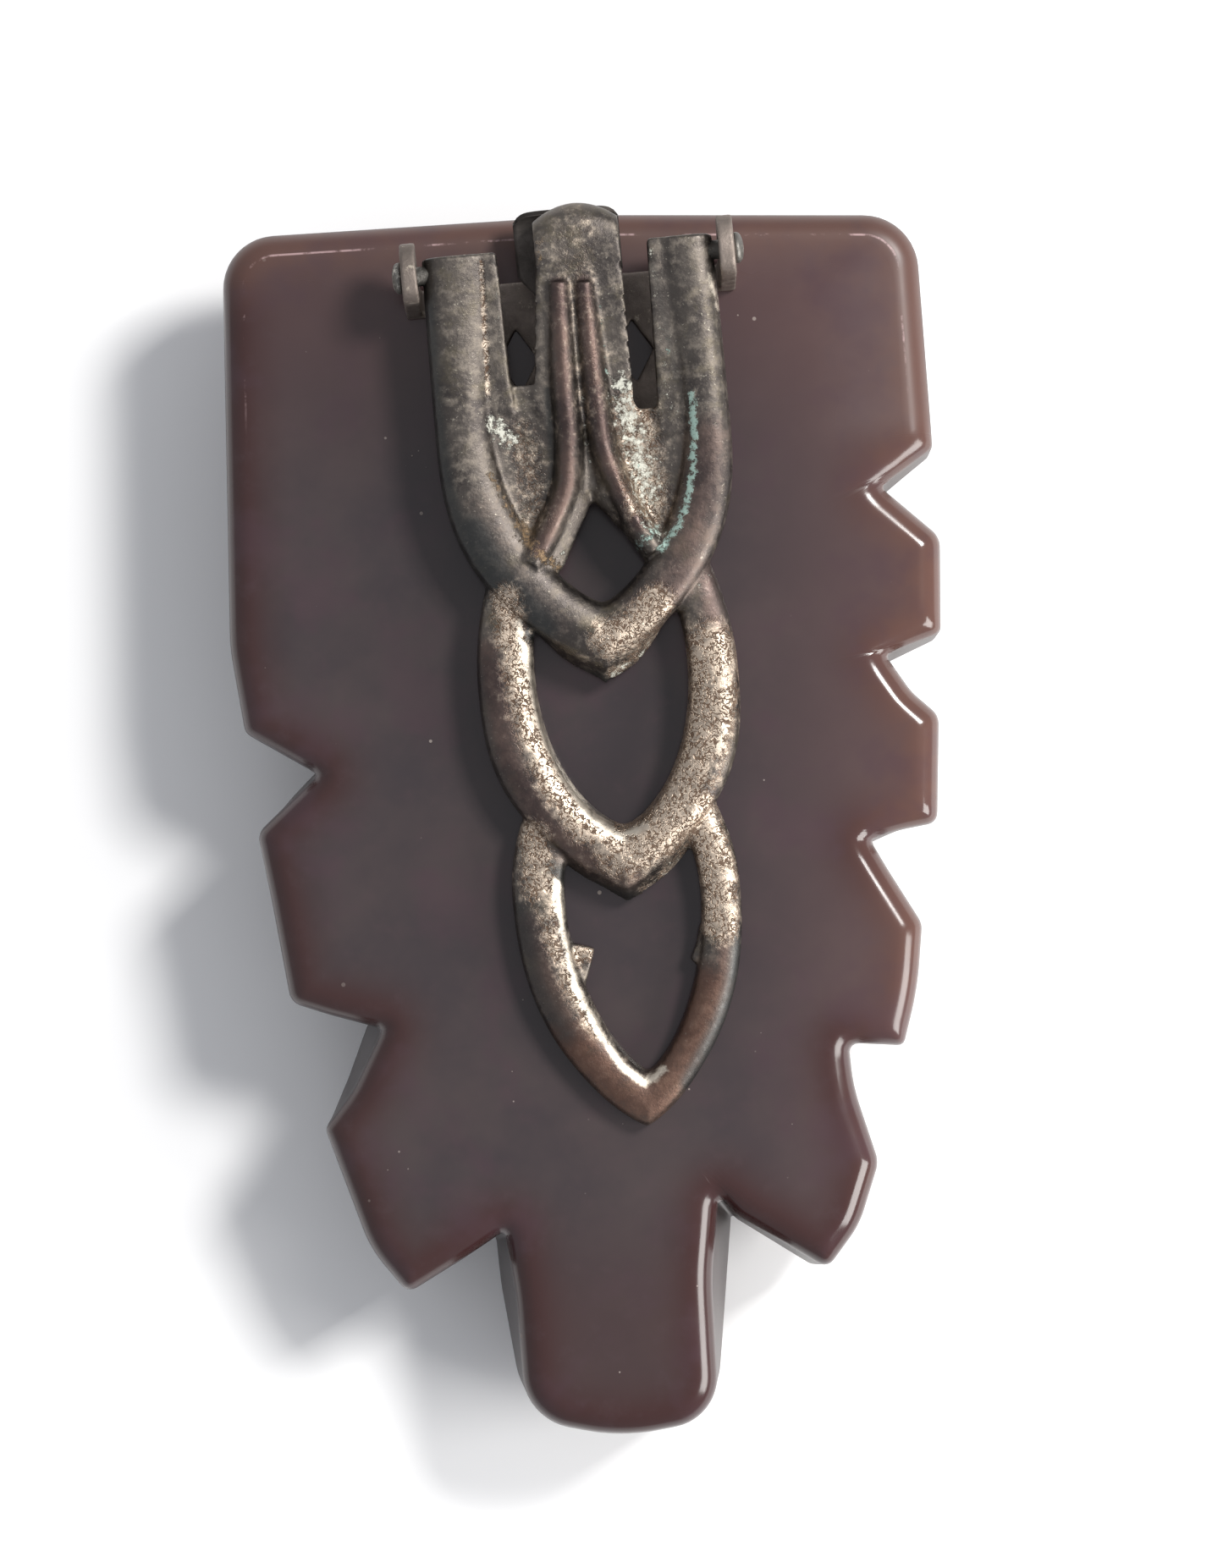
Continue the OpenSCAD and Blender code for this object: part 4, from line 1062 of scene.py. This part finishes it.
def leverMaterial():
    # worn silver plate over brown base metal, with copper where it is rubbed, pits, and dry corrosion crusts;
    # the silver and polish strokes also carry painted highlights on edges facing the right, and the dark
    # strokes painted shade on the left flanks and under the band points
    material, bench, shader, place = startMaterial("wornPlating")
    tone = {name: bench.painted(name) for name in leverTones}
    film = bench.group("patina", place)
    slow, fine, grain = film.outputs["Slow"], film.outputs["Fine"], film.outputs["Grain"]
    pits = bench.group("worm", place, Scale=5200.0, Width=0.085, Patch=0.4).outputs["Pits"]

    def broken(name, noise, low, high, spread):
        # a painted tone whose edge a noise breaks up
        shifted = bench.times(bench.maths("SUBTRACT", noise, 0.5), spread)
        return bench.step(bench.maths("ADD", tone[name], shifted), low, high)

    body = bench.mix(slow, (0.075, 0.066, 0.062), (0.14, 0.122, 0.108))
    body = bench.mix(bench.step(fine, 0.45, 0.7), body, (0.23, 0.2, 0.17))
    body = bench.mix(bench.step(grain, 0.62, 0.74), body, (0.33, 0.3, 0.25))
    olive = bench.step(bench.noise(place, 700, 5, 0.7), 0.5, 0.7)
    body = bench.mix(bench.times(olive, 0.4), body, (0.17, 0.145, 0.095))
    copper = broken("copperTone", fine, 0.15, 1.0, 1.3)
    split = bench.add("ShaderNodeSeparateXYZ")
    bench.link(place, split.inputs["Vector"])
    copperColour = bench.mix(slow, (0.085, 0.058, 0.055), (0.15, 0.098, 0.085))
    tipWarm = bench.step(split.outputs["Y"], -0.008, -0.003, 0.75, 0.0)
    copperColour = bench.mix(tipWarm, copperColour, (0.165, 0.085, 0.058))
    body = bench.mix(bench.times(copper, 0.8), body, copperColour)
    # dark tarnish and painted shade from the dark strokes
    darkTarnishAndShade = broken("darkTarnishAndShadeTone", fine, 0.25, 0.9, 0.6)
    body = bench.mix(bench.times(darkTarnishAndShade, 0.8), body, (0.055, 0.058, 0.058))
    # worn silver plate and painted highlight from the silver strokes
    silverAndHighlight = broken("silverAndHighlightTone", fine, 0.25, 0.85, 1.7)
    silverAndHighlightColour = bench.mix(fine, (0.33, 0.265, 0.21), (0.74, 0.62, 0.5))
    body = bench.mix(silverAndHighlight, body, silverAndHighlightColour)
    # bright worn metal and painted highlight from the polish strokes
    polishAndHighlight = broken("polishAndHighlightTone", fine, 0.35, 0.95, 1.7)
    body = bench.mix(polishAndHighlight, body, (0.68, 0.61, 0.51))
    inSilver = bench.step(bench.maths("SUBTRACT", tone["silverAndHighlightTone"], polishAndHighlight), 0.15, 0.6)
    pitted = bench.times(pits, inSilver)
    body = bench.mix(bench.times(pitted, 0.85), body, (0.15, 0.095, 0.065))
    # a crust breaks up into crumbs towards its edge
    crumb = bench.noise(place, 3600, 7, 0.78)
    cream = broken("creamTone", crumb, 0.75, 1.05, 3.2)
    verdigris = broken("verdigrisTone", crumb, 0.7, 1.0, 3.0)
    ochre = broken("ochreTone", crumb, 0.65, 1.1, 2.6)
    body = bench.mix(bench.times(ochre, 0.75), body, (0.3, 0.19, 0.09))
    body = bench.mix(bench.times(cream, 0.9), body, (0.62, 0.62, 0.54))
    body = bench.mix(bench.times(verdigris, 0.75), body, (0.3, 0.44, 0.39))
    bench.link(body, shader.inputs["Base Color"])
    crust = bench.larger(bench.larger(cream, verdigris), bench.times(ochre, 0.7))
    bench.link(bench.step(crust, 0.1, 0.8, 1.0, 0.05), shader.inputs["Metallic"])
    rough = bench.step(fine, 0.3, 0.7, 0.38, 0.58)
    rough = bench.maths("SUBTRACT", rough, bench.times(silverAndHighlight, 0.08))
    rough = bench.maths("SUBTRACT", rough, bench.times(polishAndHighlight, 0.05))
    rough = bench.larger(rough, bench.times(bench.larger(crust, pitted), 0.85))
    bench.link(rough, shader.inputs["Roughness"])
    relief = bench.maths("SUBTRACT", bench.times(fine, 0.45), bench.times(pitted, 0.5))
    relief = bench.maths("ADD", relief, bench.times(crust, 0.5))
    relief = bench.maths("ADD", relief, bench.times(grain, 0.12))
    bench.bump(relief, 0.75, 0.00008, shader)
    return material


def tarnishedMetal(name, dull, bright, share, roughness):
    # plain tarnished metal: dull film with a few brighter worn places
    material, bench, shader, place = startMaterial(name)
    film = bench.group("patina", place)
    slow, fine, grain = film.outputs["Slow"], film.outputs["Fine"], film.outputs["Grain"]
    body = bench.mix(slow, tuple(0.65 * c for c in dull), dull)
    body = bench.mix(bench.step(fine, 1 - share, 1.1 - share), body, bright)
    bench.link(body, shader.inputs["Base Color"])
    shader.inputs["Metallic"].default_value = 1.0
    bench.link(bench.step(fine, 0.3, 0.7, roughness, roughness + 0.2), shader.inputs["Roughness"])
    bench.bump(bench.maths("ADD", fine, bench.times(grain, 0.3)), 0.6, 0.00006, shader)
    return material


resin.data.materials.append(resinMaterial())
lever.data.materials.append(leverMaterial())
# for each metal: its dull film, its worn places, their share of the surface, and the lowest roughness
metals = {
    "dullPlate": (plate, (0.29, 0.245, 0.215), (0.45, 0.4, 0.34), 0.42, 0.5),
    # the spring's film is painted darker than the other metals, as painted shade under the lever
    "springSteelPaintedShade": (spring, (0.13, 0.115, 0.105), (0.26, 0.23, 0.2), 0.35, 0.45),
    # the rivets' film is painted darker, as painted shade on the left head
    "rivetMetalPaintedShade": (rivets, (0.19, 0.18, 0.165), (0.5, 0.48, 0.43), 0.46, 0.42),
    "pinMetal": (pins, (0.2, 0.16, 0.12), (0.4, 0.33, 0.22), 0.4, 0.4),
}
for name, (piece, *finish) in metals.items():
    piece.data.materials.append(tarnishedMetal(name, *finish))
print("materials", len(bpy.data.materials))


viewShape = {"roll": 2.4, "middle": (0.685, 1.735), "distance": 230, "frameHeight": 64.4}
# each lamp's place and size in metres, its watts and its colour
lightShape = {
    "sky": 0.54,
    "keyLight": ((0.18, 0.125, 0.285), (0.08, 0.08), 1.12, (1.0, 0.985, 0.96)),
    "sideWindow": ((0.075, -0.035, 0.05), (0.05, 0.045), 0.08, (1.0, 0.98, 0.95)),
}


def placeCamera(shape):
    # straight above the back, rolled so that the ornament leans a little to the left
    camera = bpy.data.cameras.new("viewCamera")
    holder = bpy.data.objects.new("viewCamera", camera)
    bpy.context.scene.collection.objects.link(holder)
    holder.location = (shape["middle"][0] * mm, shape["middle"][1] * mm, backZ + shape["distance"] * mm)
    holder.rotation_euler = (0, 0, -math.radians(shape["roll"]))
    camera.sensor_fit = "VERTICAL"
    camera.angle_y = 2 * math.atan(0.5 * shape["frameHeight"] / shape["distance"])
    camera.clip_start = 0.005
    camera.clip_end = 5
    bpy.context.scene.camera = holder


def areaLight(name, place, size, power, colour):
    # a rectangular lamp that faces the middle of the ornament
    light = bpy.data.lights.new(name, "AREA")
    light.shape = "RECTANGLE"
    light.size, light.size_y = size
    light.energy = power
    light.color = colour
    holder = bpy.data.objects.new(name, light)
    holder.location = place
    aim = np.array([0.0, 0.0, 0.005]) - np.array(place)
    flat = math.hypot(aim[0], aim[1])
    holder.rotation_euler = (math.atan2(flat, -aim[2]), 0, math.atan2(-aim[0], aim[1]))
    bpy.context.scene.collection.objects.link(holder)


def paleFloor():
    # a wide plain floor with a very faint paper grain
    material, bench, shader, place = startMaterial("palePaper")
    paper = bench.mix(bench.noise(place, 40, 4), (0.93, 0.93, 0.935), (0.95, 0.95, 0.95))
    bench.link(paper, shader.inputs["Base Color"])
    shader.inputs["Roughness"].default_value = 0.9
    points = 1.5 * np.array([(-1, -1, 0), (1, -1, 0), (1, 1, 0), (-1, 1, 0)])
    floor = makeMesh("paleFloor", points, [np.array([[0, 1, 2, 3]])], smooth=False)
    floor.data.materials.append(material)


def lightStage():
    # an even pale sky and the two lamps
    world = bpy.data.worlds.new("studio")
    world.use_nodes = True
    sky = world.node_tree.nodes["Background"]
    sky.inputs["Color"].default_value = (0.93, 0.95, 1.0, 1)
    sky.inputs["Strength"].default_value = lightShape["sky"]
    bpy.context.scene.world = world
    for name in ("keyLight", "sideWindow"):
        areaLight(name, *lightShape[name])


bpy.context.scene.view_settings.view_transform = "Standard"
placeCamera(viewShape)
paleFloor()
lightStage()
